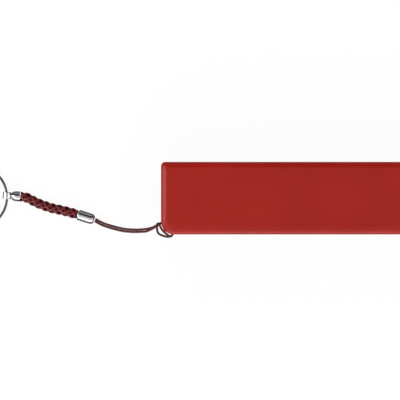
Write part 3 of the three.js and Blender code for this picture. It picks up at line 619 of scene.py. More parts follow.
RED_SHELL = Finish("red_moulded_plastic", (151, 20, 10), (158, 25, 14), (0.27, 0.35), patch_scale=60,
                   grain_scale=3200, grain_depth=0.006, specular=0.3)
RED_BUTTON = Finish("red_button_plastic", (140, 30, 25), (150, 34, 28), (0.45, 0.55), patch_scale=300,
                    grain_scale=4200, grain_depth=0.012)
CHROME = Finish("bright_chrome", (214, 214, 218), (226, 226, 228), (0.05, 0.12), 1.0, 300, 2600, 0.003)
RING_STEEL = Finish("drawn_spring_steel", (96, 98, 102), (118, 120, 124), (0.18, 0.3), 1.0, 500, 5200, 0.006)
SCREW_STEEL = Finish("blackened_screw_steel", (62, 63, 66), (84, 85, 88), (0.3, 0.45), 1.0, 900, 6000, 0.01)
NICKEL = Finish("nickel_plate", (188, 182, 168), (206, 200, 188), (0.2, 0.34), 1.0, 500, 4000, 0.006,
                Grain.ALONG_X)
ALUMINIUM = Finish("satin_aluminium", (168, 171, 175), (186, 189, 193), (0.26, 0.36), 1.0, 400, 4200, 0.008)
MIRROR = Finish("vacuum_metallised", (236, 236, 236), (246, 246, 246), (0.02, 0.06), 1.0, 300, 1500, 0.004)
CLEAR = Finish("clear_acrylic", (246, 249, 250), (252, 253, 253), (0.01, 0.04), 0.0, 200, 1200, 0.001,
               transmission=1.0, ior=1.49)
RUBBER = Finish("black_rubber", (20, 20, 22), (32, 32, 34), (0.65, 0.85), 0.0, 700, 6000, 0.02)
CELL_WRAP = Finish("blue_shrink_wrap", (36, 78, 128), (44, 90, 142), (0.28, 0.4), 0.0, 80, 1600, 0.015,
                   Grain.ALONG_X)
PAPER = Finish("fish_paper", (216, 210, 192), (228, 222, 206), (0.8, 0.95), 0.0, 900, 7000, 0.02)
BOARD = BoardFinish("green_solder_mask", (16, 74, 44), (54, 122, 72), (0.3, 0.45), 0.0, 300, 4000, 0.01)
WHITE_BOARD = Finish("white_solder_mask", (222, 222, 216), (236, 236, 230), (0.35, 0.5), 0.0, 500, 4000, 0.008)
PHOSPHOR = Finish("yellow_phosphor", (232, 202, 66), (244, 220, 96), (0.4, 0.55), 0.0, 1800, 6000, 0.01)
BLACK_PLASTIC = Finish("black_moulded_epoxy", (26, 26, 28), (38, 38, 40), (0.5, 0.65), 0.0, 1500, 9000, 0.012)
FERRITE = Finish("ferrite", (52, 54, 57), (70, 72, 75), (0.6, 0.8), 0.0, 1500, 8000, 0.02)
CHIP_CERAMIC = Finish("capacitor_ceramic", (172, 132, 82), (188, 150, 100), (0.4, 0.55), 0.0, 1500, 8000, 0.01)
RED_WIRE = Finish("red_wire_sleeve", (160, 30, 26), (176, 38, 32), (0.35, 0.5), 0.0, 700, 4000, 0.01)
BLACK_WIRE = Finish("black_wire_sleeve", (22, 22, 22), (34, 34, 34), (0.35, 0.5), 0.0, 700, 4000, 0.01)
# the dark colour is painted shade in the yarn's furrows, the light one is painted highlight on its ridges
STRAP_YARN = ThreadFinish("strap_cord_yarn", (52, 12, 14), (100, 34, 36), (0.5, 0.7), 0.0, 900, 3000, 0.05,
                          ridges=4.0, pitch=0.9)
# the near-black colour is painted shade in the furrows, gaps and strands' inner sides, the red one is painted
# highlight on ridges and crowns
BRAID_YARN = ThreadFinish("braid_yarn", (26, 1, 4), (122, 14, 22), (0.24, 0.36), 0.0, 700, 3000, 0.05,
                          ridges=5.0, pitch=2.2, crown=1.0)
FLOOR = Finish("pale_table", (250, 250, 250), (253, 253, 253), (0.6, 0.8), 0.0, 8, 900, 0.01)


def dress(piece: Piece, finish: Finish) -> None:
    """Gives a piece one finish in place of any it had."""
    piece.data.materials.clear()
    piece.data.materials.append(finish.material())


def settle(piece: Piece, body: str, finish: Finish, nodes: Sequence[str]) -> Piece:
    """Dresses a piece, rides it on its body and hides the nodes it stands for.

    Args:
        piece: the new object.
        body: the body it moves with.
        finish: its surface.
        nodes: the CAD nodes it replaces.

    Returns:
        The same piece.
    """
    dress(piece, finish)
    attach(piece, body)
    if nodes:
        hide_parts(*nodes)
    LOG.info("made %s on %s", piece.name, body)
    return piece


# ------------------------------------------------------------------------------------------------ strap
STRAP_ROUTE = [
    (-0.06933, -0.00695, 0.0018), (-0.0669, -0.0082, 0.0012), (-0.0643, -0.0091, 0.0007),
    (-0.0603, -0.0101, 0.0008), (-0.0573, -0.01042, 0.0023), (-0.0544, -0.0104, 0.0052),
    (-0.0519, -0.0101, 0.0084), (-0.0502, -0.00965, 0.0102), (-0.0489, -0.00895, 0.01115),
    (-0.0473, -0.00822, 0.01145), (-0.0456, -0.00852, 0.01145), (-0.04445, -0.0094, 0.01145),
    (-0.04375, -0.0119, 0.01145), (-0.04405, -0.0125, 0.01145), (-0.0448, -0.0125, 0.0115),
    (-0.0457, -0.01188, 0.0116), (-0.04675, -0.01098, 0.0118), (-0.04752, -0.00992, 0.0121),
    (-0.04802, -0.0089, 0.01235), (-0.0484, -0.00835, 0.01245), (-0.04882, -0.0087, 0.0124),
    (-0.04885, -0.0099, 0.0123), (-0.0487, -0.0111, 0.0118), (-0.0481, -0.0119, 0.0112),
    (-0.047, -0.0124, 0.0108), (-0.0458, -0.01275, 0.0106), (-0.0446, -0.01275, 0.01055),
    (-0.0439, -0.0124, 0.01055), (-0.04372, -0.0116, 0.01055), (-0.04445, -0.0094, 0.01055),
    (-0.0456, -0.00852, 0.01055), (-0.0473, -0.00825, 0.0105), (-0.0488, -0.0092, 0.01015),
    (-0.052, -0.01087, 0.0082), (-0.05445, -0.01117, 0.0052), (-0.05735, -0.0112, 0.0023),
    (-0.0605, -0.01087, 0.0008), (-0.0646, -0.00983, 0.0007), (-0.0672, -0.00892, 0.0012),
    (-0.06957, -0.00767, 0.0018),
]
BRAID_ROUTE = [
    (-0.09415, 0.00052, 0.0018), (-0.0922, 0.00015, 0.0018), (-0.0892, -0.00135, 0.0018),
    (-0.0844, -0.00315, 0.0018), (-0.0798, -0.0042, 0.0018), (-0.07539, -0.00541, 0.0018),
]


@dataclass
class StrapCord:
    """The thin doubled cord from the ferrule, through the corner of the case and round itself."""

    diameter: float = 0.75
    sides: int = 14
    samples: int = 420

    def build(self) -> tuple[Piece, np.ndarray]:
        """The cord as a tube along its route.

        Returns:
            The cord, and its line as samples x 3.
        """
        line = even(spline(STRAP_ROUTE), self.samples)
        skin = carried(oval(self.diameter * MM, self.diameter * MM, self.sides), line)
        return settle(skin.to_object("strap_loop", 60), "case", STRAP_YARN, ["strap_cord"]), line


@dataclass
class Braid:
    """Eight yarns plaited round a core, two over and two under."""

    yarns: int = 4
    lay_length: float = 9.2
    middle_radius: float = 1.16
    wave: float = 0.26
    yarn_width: float = 0.98
    yarn_height: float = 0.62
    core_radius: float = 0.9
    samples: int = 300
    sides: int = 12

    def yarn(self, line: np.ndarray, start: float, hand: int) -> Skin:
        """One yarn: angle = start + hand x phi, radius = middle + hand x wave cos(2 phi + pi / 4).

        Args:
            line: the braid's centre line, evenly spaced.
            start: the yarn's angle at the first sample.
            hand: 1 or -1, the way it winds.

        Returns:
            The yarn's skin.
        """
        run = np.linspace(0, length_of(line), len(line))
        phi = run / (self.lay_length * MM) * TAU
        tangent = np.gradient(line, axis=0)
        tangent /= np.linalg.norm(tangent, axis=1, keepdims=True)
        side = np.cross((0, 0, 1.0), tangent)
        side /= np.linalg.norm(side, axis=1, keepdims=True)
        top = np.cross(tangent, side)
        angle = (start + hand * phi)[:, None]
        out = np.cos(angle) * side + np.sin(angle) * top
        radius = (self.middle_radius + hand * self.wave * np.cos(2 * phi + math.pi / 4)) * MM
        path = line + radius[:, None] * out
        run_way = np.gradient(path, axis=0)
        run_way /= np.linalg.norm(run_way, axis=1, keepdims=True)
        across = np.cross(out, run_way)
        across /= np.linalg.norm(across, axis=1, keepdims=True)
        away = np.cross(run_way, across)
        shape = oval(self.yarn_width * MM, self.yarn_height * MM, self.sides, 2.2)
        flat = shape[None, :, :1] * across[:, None]
        raised = shape[None, :, 1:] * away[:, None]
        return lattice(path[:, None] + flat + raised)

    def build(self) -> Piece:
        """All eight yarns and the core that they cover.

        Returns:
            The braid.
        """
        line = even(spline(BRAID_ROUTE), self.samples)
        skin = carried(oval(2 * self.core_radius * MM, 2 * self.core_radius * MM, 24), line)
        # the core's U sits where the painted crown light is darkest, so the gaps between yarns show painted shade
        skin.uvs[..., 0] = 0.75
        for hand in (1, -1):
            for number in range(self.yarns):
                skin = skin + self.yarn(line, number * TAU / self.yarns, hand)
        return settle(skin.to_object("braided_strap", 60), "case", BRAID_YARN, ["strap_braid"])


@dataclass
class CordFerrule:
    """The drawn cup that joins the braid to the thin cord."""

    place: tuple[float, float, float] = (-75.1, -5.5, 1.8)
    turn: float = -17.8
    radius: float = 1.75
    length: float = 5.6
    wall: float = 0.16
    nose: float = 0.85
    mouth: float = 0.78

    def build(self) -> Piece:
        """A thin cup with a rolled lip, a rounded nose and the cord's hole.

        Returns:
            The ferrule.
        """
        nose = self.length
        outside = rounded([
            (0.0, self.radius - 0.1), (0.12, self.radius), (nose - self.nose, self.radius),
            (nose - 0.05, self.radius - self.nose * 0.62), (nose, self.mouth),
        ], 0.7, 7)
        inside = [(nose - self.wall * 1.4, self.mouth - 0.03), (nose - self.nose * 1.3, self.radius - self.wall * 3),
                  (0.25, self.radius - self.wall), (0.0, self.radius - self.wall)]
        skin = lathe(outside + inside, 64, ring=True).turned(spin_z(self.turn), np.asarray(self.place) * MM)
        return settle(skin.to_object("cord_ferrule_cup", 50), "case", CHROME, ["cord_ferrule"])


@dataclass
class RingFerrule:
    """The crimped cup with a tongue that is rolled round the key ring."""

    place: tuple[float, float, float] = (-98.8, 0.9, 1.45)
    turn: float = -4.5
    radius: float = 1.7
    reach: float = 1.58
    body: float = 2.7
    eye_radius: float = 1.22
    sheet: float = 0.3
    width: float = 2.3
    lead_steps: int = 14
    lead_drop: float = 0.17
    neck_share: float = 0.75

    def cup(self) -> Skin:
        """The tapered cup, closed at the neck and lipped at the braid.

        Returns:
            The cup's skin.
        """
        tip = self.reach + self.body
        outside = rounded([
            (self.reach - 0.1, 0.35), (self.reach, 1.12), (self.reach + 0.9, self.radius - 0.1),
            (tip - 0.35, self.radius), (tip, self.radius - 0.06),
        ], 0.4, 5)
        inside = [(tip - 0.02, self.radius - 0.18), (self.reach + 1.2, self.radius - 0.3), (self.reach + 0.5, 0.3)]
        return lathe(outside + inside, 56)

    def tongue(self) -> Skin:
        """A strip whose middle line leaves the neck, then goes once round the eye: (R cos a, R sin a).

        Returns:
            The strip's skin.
        """
        angle = np.radians(np.linspace(-8, 338, 90))
        eye = np.stack([np.cos(angle), np.zeros_like(angle), -np.sin(angle)], 1) * self.eye_radius
        lead_x = np.linspace(self.reach + 0.7, self.eye_radius + 0.1, self.lead_steps)
        lead = np.stack([lead_x, np.zeros_like(lead_x), np.full_like(lead_x, self.lead_drop)], 1)
        line = np.concatenate([lead, eye[2:]]) * MM
        taper = np.linspace(self.neck_share, 1.0, self.lead_steps)
        grow = np.concatenate([taper, np.ones(len(eye) - 2)])[:, None, None]
        flat = oval(self.width * MM, self.sheet * MM, 20, 5.0)[None]
        shape = flat * np.concatenate([grow, np.ones_like(grow)], 2)
        return self.strip(line, shape)

    @staticmethod
    def strip(line: np.ndarray, shape: np.ndarray) -> Skin:
        """A section whose first measure stays along Y and whose second stays square to the line.

        Args:
            line: the strip's middle line.
            shape: the section at each sample.

        Returns:
            The strip's skin.
        """
        tangent = np.gradient(line, axis=0)
        tangent /= np.linalg.norm(tangent, axis=1, keepdims=True)
        across = np.broadcast_to(np.array([0, 1.0, 0]), line.shape)
        away = np.cross(tangent, across)
        return lattice(line[:, None] + shape[..., :1] * across[:, None] + shape[..., 1:] * away[:, None])

    def build(self) -> Piece:
        """The cup and its rolled tongue in one piece of metal.

        Returns:
            The ferrule.
        """
        lift = np.array([0, 0, 0.3 * MM])
        cup = self.cup().turned(np.eye(3), lift)
        skin = (cup + self.tongue()).turned(spin_z(self.turn), np.asarray(self.place) * MM)
        return settle(skin.to_object("ring_ferrule_cup", 50), "case", CHROME, ["ring_ferrule"])


@dataclass
class KeyRing:
    """A split ring: two turns of flat spring wire lying on each other."""

    place: tuple[float, float, float] = (-98.8, 0.9, 1.45)
    turn: float = 3.0
    tilt: float = -2.2
    radius: float = 10.4
    width: float = 0.78
    height: float = 0.57
    gap: float = 0.08

    def build(self) -> Piece:
        """The wire's middle line steps from the lower to the upper level half-way along it.

        Returns:
            The ring.
        """
        share = np.linspace(0, 1, 420)
        angle = (share - 0.5) * 2 * 0.985 * TAU
        ease = np.clip((share - 0.42) / 0.16, 0, 1)
        level = (ease * ease * (3 - 2 * ease) - 0.5) * (self.height + self.gap)
        across = -self.radius * (np.cos(angle) + 1)
        line = np.stack([across, self.radius * np.sin(angle), level], 1) * MM
        skin = carried(oval(self.width * MM, self.height * MM, 20, 3.2), line)
        skin = skin.turned(spin_z(self.turn) @ spin_y(self.tilt), np.asarray(self.place) * MM)
        return settle(skin.to_object("split_ring", 50), "ring", RING_STEEL, ["key_ring"])


# ------------------------------------------------------------------------------------------------ case
@dataclass
class CaseShell:
    """The outside of the case: two moulded halves that meet half-way up, with every opening cut."""

    wall: float = 1.6
    corner: float = 1.4
    strap_corner: float = 4.3
    edge: float = 1.0
    tail_edge: float = 2.1
    crown_reach: float = 2.3
    seam_round: float = 0.12
    block_length: float = 7.3
    block_width: float = 6.6
    block_inset: float = 0.9
    block_floor: float = 0.8
    passage_inset: float = 0.5
    passage_radius: float = 3.3
    passage_width: float = 1.8
    passage_height: float = 2.6
    corner_steps: int = 14
    edge_steps: int = 8

    def __post_init__(self) -> None:
        """Takes the case's size from its frame."""
        low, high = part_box("lower_shell")[0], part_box("upper_shell")[1]
        self.end, self.side, self.top = high.x / MM, high.y / MM, high.z / MM
        self.low_end = low.x / MM
        self.seam_low = (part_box("upper_shell")[0].z - 0.0002) / MM
        self.seam_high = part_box("upper_shell")[0].z / MM

    def outline(self, inset: float) -> tuple[np.ndarray, np.ndarray]:
        """A rounded rectangle in plan and its outward normals; four arcs joined by straight sides.

        Args:
            inset: how far inside the case's side it runs, in millimetres.

        Returns:
            Points and normals, each an array of points x 2.
        """
        points, normals = [], []
        corners = [(1, -1, self.corner, -90), (1, 1, self.corner, 0), (-1, 1, self.corner, 90),
                   (-1, -1, self.strap_corner, 180)]
        for sx, sy, radius, start in corners:
            radius = max(radius - inset, 0.15)
            angle = np.radians(np.linspace(start, start + 90, self.corner_steps))
            normal = np.stack([np.cos(angle), np.sin(angle)], 1)
            centre = np.array([sx * (self.end - inset - radius), sy * (self.side - inset - radius)])
            points.append(centre + radius * normal)
            normals.append(normal)
        loop, out = np.concatenate(points), np.concatenate(normals)
        return self.divided(loop), self.divided(out)

    def inward(self, loop: np.ndarray, normal: np.ndarray, depth: float | np.ndarray) -> np.ndarray:
        """Plan points moved in: (x, y) x (1 - depth / half size), which keeps tight corners open."""
        half = np.array([self.end, self.side])
        return loop * (1 - np.asarray(depth) / half)

    @staticmethod
    def divided(loop: np.ndarray) -> np.ndarray:
        """The loop with three points added on each long straight, so that shading stays flat there.

        Args:
            loop: four arcs, one after another.

        Returns:
            The loop with its extra points.
        """
        steps = len(loop) // 4
        rows = []
        for k in range(4):
            arc = loop[k * steps : (k + 1) * steps]
            after = loop[((k + 1) * steps) % len(loop)]
            rows.append(arc)
            rows += [arc[-1:] * (1 - share) + after * share for share in (0.03, 0.5, 0.97)]
        return np.concatenate(rows)

    def half(self, seam: float, face: float) -> Skin:
        """One closed shell: a round seam lip, the side, the rounded edge, the face, and the same inside.

        The edge is P = outline moved in by reach x (1 - cos a), z = face - sign x r (1 - sin a), and r grows to
        the tail's own radius by the normal's share along -X.

        Args:
            seam: height of the seam edge, in millimetres.
            face: height of the broad face.

        Returns:
            The shell's skin.
        """
        sign = 1.0 if face > seam else -1.0
        loop, normal = self.outline(0)
        tail = np.clip(-normal[:, 0], 0, 1) ** 2
        radius = self.edge + tail * (self.tail_edge - self.edge)
        rows = []
        for a in np.linspace(0, math.pi / 2, 4):
            step = self.seam_round * (1 - math.sin(a))
            lift = self.seam_round * (1 - math.cos(a))
            rows.append(self.level(loop - normal * step, seam + sign * lift))
        for a in np.linspace(0, math.pi / 2, self.edge_steps + 1):
            drop = self.crown_reach * (1 - math.cos(a))
            height = face - sign * radius * (1 - math.sin(a))
            rows.append(self.level(self.inward(loop, normal, drop), height))
        rows.append(self.level(self.inward(loop, normal, self.crown_reach + 0.6), face))
        inner = self.outline(self.wall)[0]
        inside = [self.level(inner, seam), self.level(inner, face - sign * (self.wall + 0.5)),
                  self.level(self.outline(self.wall + 0.5)[0], face - sign * self.wall)]
        outer = lattice(np.stack(rows))
        hollow = lattice(np.stack(inside))
        joined = Skin(
            np.concatenate([outer.points, hollow.points]),
            np.concatenate([outer.quads, hollow.quads[:, ::-1] + len(outer.points)]),
            np.concatenate([outer.uvs, hollow.uvs[:, ::-1]]),
            [outer.caps[1], hollow.caps[1][::-1] + len(outer.points)],
        )
        return self.rimmed(joined, len(loop), len(outer.points))

    @staticmethod
    def rimmed(shell: Skin, count: int, start: int) -> Skin:
        """Joins the outer and inner seam loops by one band of faces.

        Args:
            shell: the outer and inner skins.
            count: points in a loop.
            start: the inner loop's first index.

        Returns:
            The closed shell.
        """
        outer = np.arange(count)
        inner = outer + start
        band = np.stack([np.roll(outer, -1), outer, inner, np.roll(inner, -1)], 1)
        return Skin(shell.points, np.concatenate([shell.quads, band]),
                    np.concatenate([shell.uvs, np.zeros((count, 4, 2))]), shell.caps)

    @staticmethod
    def level(plan: np.ndarray, height: float | np.ndarray) -> np.ndarray:
        """Plan points at a height, in metres."""
        z = np.broadcast_to(np.asarray(height, float), (len(plan),))
        return np.concatenate([plan, z[:, None]], 1) * MM

    def box_tool(self, x: tuple[float, float], y: tuple[float, float], z: tuple[float, float]) -> Skin:
        """A plain block between two corners, in millimetres."""
        ring = np.array([[x[0], y[0]], [x[1], y[0]], [x[1], y[1]], [x[0], y[1]]])
        return lattice(np.stack([self.level(ring, z[0]), self.level(ring, z[1])]))

    def passage(self) -> Skin:
        """The strap's way inside the corner: an oval section carried round an arc in plan.

        Returns:
            The passage's skin.
        """
        angle = np.radians(np.linspace(-24, 114, 40))
        centre = np.array([self.low_end + self.passage_inset, -self.side + self.passage_inset, self.top / 2])
        line = centre + self.passage_radius * np.stack([np.cos(angle), np.sin(angle), np.zeros_like(angle)], 1)
        return carried(oval(self.passage_width * MM, self.passage_height * MM, 28, 3.0), line * MM)

    def stadium_tool(self) -> Skin:
        """The charging socket's window: a long round-ended slot through the side.

        Returns:
            The slot's skin.
        """
        low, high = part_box("charging_socket")
        middle = np.array([(low.x + high.x) / 2, self.side * MM - 1.0 * MM, (low.z + high.z) / 2])
        width, height = high.x - low.x + 0.5 * MM, high.z - low.z + 0.5 * MM
        angle = np.linspace(0, TAU, 48, endpoint=False)
        x = np.sign(np.cos(angle)) * (width - height) / 2 + height / 2 * np.cos(angle)
        z = height / 2 * np.sin(angle)
        depths = [middle[1] + reach * MM for reach in (-1.5, 2.5)]
        rows = [np.stack([middle[0] + x, np.full_like(x, y), middle[2] + z], 1) for y in depths]
        return lattice(np.stack(rows))

    def round_tool(self, node: str, growth: float, axis: int, reach: tuple[float, float]) -> Skin:
        """A cylinder on a node's middle, wider than the node by a growth, along X (0) or Z (2).

        Args:
            node: the CAD node it goes round.
            growth: added to the node's radius, in millimetres.
            axis: 0 or 2.
            reach: where it starts and ends.

        Returns:
            The cylinder's skin.
        """
        low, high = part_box(node)
        middle = (np.array(low) + np.array(high)) / 2
        other = 1
        radius = (high[other] - low[other]) / 2 / MM + growth
        rod = lathe([(reach[0], radius), (reach[1], radius)], 72)
        if axis == 2:
            return rod.turned(LIE_TO_STAND, (middle[0], middle[1], 0))
        return rod.turned(np.eye(3), (0, middle[1], middle[2]))

    def build(self) -> list[Piece]:
        """Both halves, cut for the strap, lens, button, light pipe, socket and screws.

        Returns:
            The upper and the lower half.
        """
        block_x = (self.low_end + self.block_inset, self.low_end + self.block_length)
        block_y = (-self.side + self.block_inset, -self.side + self.block_width)
        corner = self.box_tool(block_x, block_y, (self.block_floor, self.seam_low))
        corner_up = self.box_tool(block_x, block_y, (self.seam_high, self.top - self.block_floor))
        mouth = self.round_tool("lens_bezel", -0.7, 0, (self.end - 3, self.end + 1))
        upper = self.half(self.seam_high, self.top).to_object("upper_case")
        carve(upper, [corner_up], Cut.ON)
        button = self.round_tool("push_button", -0.35, 2, (self.top - 3, self.top + 1))
        pipe = self.round_tool("light_pipe", 0.1, 2, (self.top - 3, self.top + 1))
        carve(upper, [mouth, button, pipe, self.stadium_tool(), self.passage()], Cut.AWAY)
        lower = self.half(self.seam_low, 0.0).to_object("lower_case")
        carve(lower, [corner], Cut.ON)
        names = [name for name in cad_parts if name.startswith("case_screw")]
        screws = [self.round_tool(name, 0.12, 2, (-1.0, 1.7)) for name in names]
        carve(lower, [mouth, self.passage()] + screws, Cut.AWAY)
        made = []
        for shell, node in ((upper, "upper_shell"), (lower, "lower_shell")):
            shell.data.polygons.foreach_set("use_smooth", np.ones(len(shell.data.polygons), bool))
            shell.data.set_sharp_from_angle(angle=math.radians(32))
            shell.modifiers.new("shading", "WEIGHTED_NORMAL").keep_sharp = True
            made.append(settle(shell, "case", RED_SHELL, [node]))
        return made


# ------------------------------------------------------------------------------------------------ light head
@dataclass
class LightHead:
    """The turned bezel, its seal, the lens and the reflector."""

    height: float = 8.6
    bezel_mouth: float = 5.2
    bezel_neck: float = 5.9
    bezel_flange: float = 6.7

    def span(self, node: str) -> tuple[float, float]:
        """Where a node starts and ends along X, in millimetres."""
        low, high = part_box(node)
        return low.x / MM, high.x / MM

    def stand(self, profile: Profile, name: str, sides: int = 96, ring: bool = False) -> Piece:
        """A turned piece on the head's axis."""
        skin = lathe(profile, sides, ring).turned(np.eye(3), (0, 0, self.height * MM))
        return skin.to_object(name)

    def bezel(self) -> None:
        """A stepped ring with a bright chamfer round the lens."""
        back, front = self.span("lens_bezel")
        profile = rounded([
            (back, self.bezel_mouth), (back, self.bezel_flange), (back + 0.9, self.bezel_flange),
            (back + 0.9, self.bezel_neck), (front, self.bezel_neck), (front, self.bezel_neck - 0.3),
            (front - 0.7, self.bezel_mouth), (back, self.bezel_mouth),
        ], 0.12)
        settle(self.stand(profile[:-1], "turned_bezel", ring=True), "case", ALUMINIUM, ["lens_bezel"])

    def seal(self) -> None:
        """A round ring: (x + r cos a, R + r sin a)."""
        back, front = self.span("lens_gasket")
        small = (front - back) / 2
        large = (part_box("lens_gasket")[1].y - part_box("lens_gasket")[0].y) / 2 / MM - small
        angle = np.linspace(0, TAU, 16, endpoint=False)
        profile = np.stack([(back + front) / 2 + small * np.cos(angle), large + small * np.sin(angle)], 1)
        settle(self.stand(profile, "lens_seal", ring=True), "case", RUBBER, ["lens_gasket"])

    def lens(self) -> None:
        """A disc with a low crown: x = front - crown (r / R)^2."""
        back, front = self.span("lens")
        radius = np.linspace(4.9, 0.05, 14)
        crown = [(front - 0.2 * (r / 4.9) ** 2, r) for r in radius]
        profile = [(back, 0.05), (back, 6.1), (back + 0.08, 6.18), (front - 0.28, 6.18), (front - 0.2, 6.1)] + crown
        settle(self.stand(profile, "crowned_lens"), "case", CLEAR, ["lens"])

    def reflector(self) -> None:
        """A stepped parabola: r = sqrt(throat^2 + spread x), with a wall and a rim."""
        back, front = self.span("reflector")
        length = front - back
        spread = (5.3**2 - 1.9**2) / length
        along = np.linspace(0, length, 40)
        bowl = np.sqrt(1.9**2 + spread * along)
        inner = [(back + x, r) for x, r in zip(along[::-1], bowl[::-1])]
        outer = [(back + x, r + 0.5) for x, r in zip(along, bowl) if x < length - 1.3]
        rim = [(front - 1.3, outer[-1][1]), (front - 1.3, 6.3), (front, 6.3)]
        settle(self.stand(outer + rim + inner, "metallised_reflector", ring=True), "case",
               MIRROR, ["reflector"])

    def build(self) -> None:
        """Makes the head's turned pieces."""
        self.bezel()
        self.seal()
        self.lens()
        self.reflector()


@dataclass
class PushButton:
    """The round cap, dished for a fingertip, with its flange and stem."""

    dish: float = 0.22

    def build(self) -> Piece:
        """Height over the cap: top - dish (1 - (r / R)^2)^2 inside the rim.

        Returns:
            The button.
        """
        low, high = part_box("push_button")
        bottom, top = low.z / MM, high.z / MM
        radius = np.linspace(3.0, 0.05, 16)
        crown = [(top - self.dish * (1 - (r / 3.0) ** 2) ** 2, r) for r in radius]
        flange_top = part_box("upper_shell")[1].z / MM - 1.6 - 0.25
        side = rounded([
            (bottom, 1.3), (bottom, 1.4), (flange_top - 0.55, 1.4), (flange_top - 0.55, 4.1), (flange_top, 4.1),
            (flange_top, 3.5), (top, 3.5), (top, 3.0),
        ], 0.3, 4)
        middle = ((low.x + high.x) / 2, 0, 0)
        skin = lathe([(bottom, 0.05)] + side + crown[1:], 72).turned(LIE_TO_STAND, middle)
        return settle(skin.to_object("dished_button"), "button", RED_BUTTON, ["push_button"])


# ------------------------------------------------------------------------------------------------ inside
INSIDE: dict[Finish, tuple[str, ...]] = {
    SCREW_STEEL: ("case_screw_tail_left", "case_screw_tail_right", "case_screw_head_left", "case_screw_head_right",
                  "board_screw_left", "board_screw_right"),
    ALUMINIUM: ("heat_sink",),
    WHITE_BOARD: ("led_board",),
    PHOSPHOR: ("led_emitter", "status_led"),
    RED_WIRE: ("led_lead_positive",),
    BLACK_WIRE: ("led_lead_negative",),
    CELL_WRAP: ("battery_cell",),
    PAPER: ("cell_insulator",),
    NICKEL: ("negative_contact", "contact_spring", "positive_contact", "cell_lead", "charging_socket"),
    BOARD: ("control_board",),
    BLACK_PLASTIC: ("controller_chip", "charger_chip", "socket_tongue", "switch_body"),
    FERRITE: ("inductor",),
    CHIP_CERAMIC: ("capacitor_input", "capacitor_output"),
    CLEAR: ("light_pipe",),
    RUBBER: ("switch_plunger",),
}


def dress_inside() -> None:
    """Gives every carried-over piece its finish."""
    for finish, names in INSIDE.items():
        for name in names:
            dress(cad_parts[name], finish)
            LOG.info("dressed %s", name)


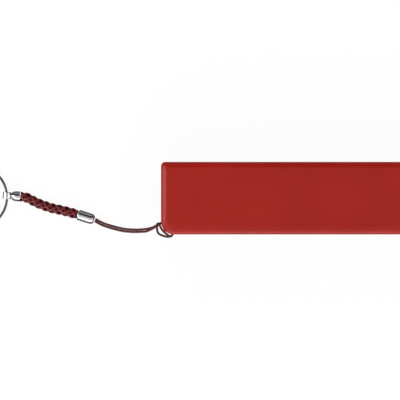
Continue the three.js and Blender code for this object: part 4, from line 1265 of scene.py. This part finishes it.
# ------------------------------------------------------------------------------------------------ studio
@dataclass
class Studio:
    """A pale table, soft lamps on both sides and a long-lens camera straight above."""

    middle: tuple[float, float] = (-0.03459, -0.0006)
    face_height: float = 0.022
    field: float = 0.1324
    sky: tuple[tuple[float, float], ...] = (
        (-1.0, 0.3), (1.0, 0.3), (-0.92, 0.85), (-0.2, 0.85), (0.05, 0.5), (0.3, 0.25), (0.4, 0.02), (0.72, 0.02),
        (0.82, 0.32),
    )
    distance: float = 4.5

    def camera(self) -> None:
        """Focal length = sensor x distance / field, so that the face fills its share of the frame."""
        data = bpy.data.cameras.new("camera")
        data.sensor_width = 36.0
        data.lens = data.sensor_width * self.distance / self.field
        data.clip_start, data.clip_end = 1.0, 20.0
        camera = bpy.data.objects.new("camera", data)
        camera.location = (*self.middle, self.face_height + self.distance)
        bpy.context.scene.collection.objects.link(camera)
        bpy.context.scene.camera = camera

    def lamp(self, name: str, place: tuple[float, float, float], size: tuple[float, float], power: float,
             mirrored: bool = True) -> None:
        """A rectangular softbox that faces the torch.

        Args:
            name: its name.
            place: where it stands, in metres.
            size: its width and height.
            power: in watts.
            mirrored: whether bright metal shows it.
        """
        data = bpy.data.lights.new(name, "AREA")
        data.shape = "RECTANGLE"
        data.size, data.size_y = size
        data.energy = power
        lamp = bpy.data.objects.new(name, data)
        lamp.location = place
        lamp.visible_glossy = mirrored
        aim = np.array((-0.03, 0, 0.01)) - np.array(place)
        yaw, pitch = math.atan2(aim[1], aim[0]), math.atan2(-aim[2], math.hypot(aim[0], aim[1]))
        lamp.rotation_euler = (math.pi / 2 - pitch, 0, yaw - math.pi / 2)
        bpy.context.scene.collection.objects.link(lamp)

    def floor(self) -> None:
        """A wide pale sheet whose shade shows softly, and which the camera sees nearly white."""
        ring = np.array([[-3.0, -3.0], [3.0, -3.0], [3.0, 3.0], [-3.0, 3.0]])
        low = np.concatenate([ring, np.full((4, 1), -0.01)], 1)
        high = np.concatenate([ring, np.full((4, 1), -0.00005)], 1)
        floor = lattice(np.stack([low, high])).to_object("table")
        made = FLOOR.material()
        tree = made.node_tree
        shader, out = tree.nodes["Principled BSDF"], tree.nodes["Material Output"]
        glow = tree.nodes.new("ShaderNodeEmission")
        path = tree.nodes.new("ShaderNodeLightPath")
        seen = tree.nodes.new("ShaderNodeMath")
        seen.operation = "MAXIMUM"
        seen.use_clamp = True
        tree.links.new(path.outputs["Is Camera Ray"], seen.inputs[0])
        tree.links.new(path.outputs["Is Transmission Ray"], seen.inputs[1])
        share = tree.nodes.new("ShaderNodeMath")
        share.operation = "MULTIPLY"
        share.inputs[1].default_value = 0.94
        tree.links.new(seen.outputs["Value"], share.inputs[0])
        mix = tree.nodes.new("ShaderNodeMixShader")
        tree.links.new(share.outputs["Value"], mix.inputs["Fac"])
        tree.links.new(shader.outputs["BSDF"], mix.inputs[1])
        tree.links.new(glow.outputs["Emission"], mix.inputs[2])
        mirrored = tree.nodes.new("ShaderNodeEmission")
        mirrored.inputs["Color"].default_value = linear((104, 102, 102))
        choose = tree.nodes.new("ShaderNodeMixShader")
        tree.links.new(path.outputs["Is Glossy Ray"], choose.inputs["Fac"])
        tree.links.new(mix.outputs["Shader"], choose.inputs[1])
        tree.links.new(mirrored.outputs["Emission"], choose.inputs[2])
        tree.links.new(choose.outputs["Shader"], out.inputs["Surface"])
        floor.data.materials.append(made)

    def world(self) -> None:
        """Soft light that changes from near side to far side as the sky's pairs say, white to the camera."""
        world = bpy.data.worlds.new("studio")
        world.use_nodes = True
        bpy.context.scene.world = world
        tree = world.node_tree
        back = tree.nodes["Background"]
        back.inputs["Color"].default_value = (1, 1, 1, 1)
        place = tree.nodes.new("ShaderNodeTexCoord")
        split = tree.nodes.new("ShaderNodeSeparateXYZ")
        tree.links.new(place.outputs["Generated"], split.inputs["Vector"])
        spread = tree.nodes.new("ShaderNodeMapRange")
        spread.inputs["From Min"].default_value = -1.0
        tree.links.new(split.outputs["Y"], spread.inputs["Value"])
        fade = tree.nodes.new("ShaderNodeValToRGB")
        for number, (side, light) in enumerate(self.sky):
            stops = fade.color_ramp.elements
            stop = stops[number] if number < 2 else stops.new((side + 1) / 2)
            stop.position = (side + 1) / 2
            stop.color = (light, light, light, 1)
        tree.links.new(spread.outputs["Result"], fade.inputs["Fac"])
        path = tree.nodes.new("ShaderNodeLightPath")
        white = tree.nodes.new("ShaderNodeMath")
        white.operation = "MAXIMUM"
        tree.links.new(path.outputs["Is Camera Ray"], white.inputs[0])
        tree.links.new(fade.outputs["Color"], white.inputs[1])
        tree.links.new(white.outputs["Value"], back.inputs["Strength"])

    def build(self) -> None:
        """Floor, world and lamps."""
        self.floor()
        self.world()
        self.lamp("near_softbox", (-0.05, -0.75, 0.55), (1.3, 0.4), 4.2)
        self.lamp("far_softbox", (-0.05, 0.8, 0.6), (1.3, 0.4), 3.0, mirrored=False)
        self.lamp("tail_softbox", (-0.9, 0.0, 0.5), (0.4, 1.0), 3.9)
        self.lamp("head_softbox", (0.9, 0.0, 0.6), (0.4, 1.0), 1.2)


def main() -> None:
    """Builds the camera and the cord first, then every sub-assembly."""
    logging.basicConfig(level=logging.INFO, format="%(name)s: %(message)s")
    bpy.context.scene.view_settings.view_transform = "Standard"
    studio = Studio()
    studio.camera()
    strap = StrapCord()
    cord, line = strap.build()
    fittings = [CordFerrule().build(), Braid().build(), RingFerrule().build(), KeyRing().build()]
    CaseShell().build()
    LightHead().build()
    PushButton().build()
    dress_inside()
    studio.build()


if __name__ == "__main__":
    main()
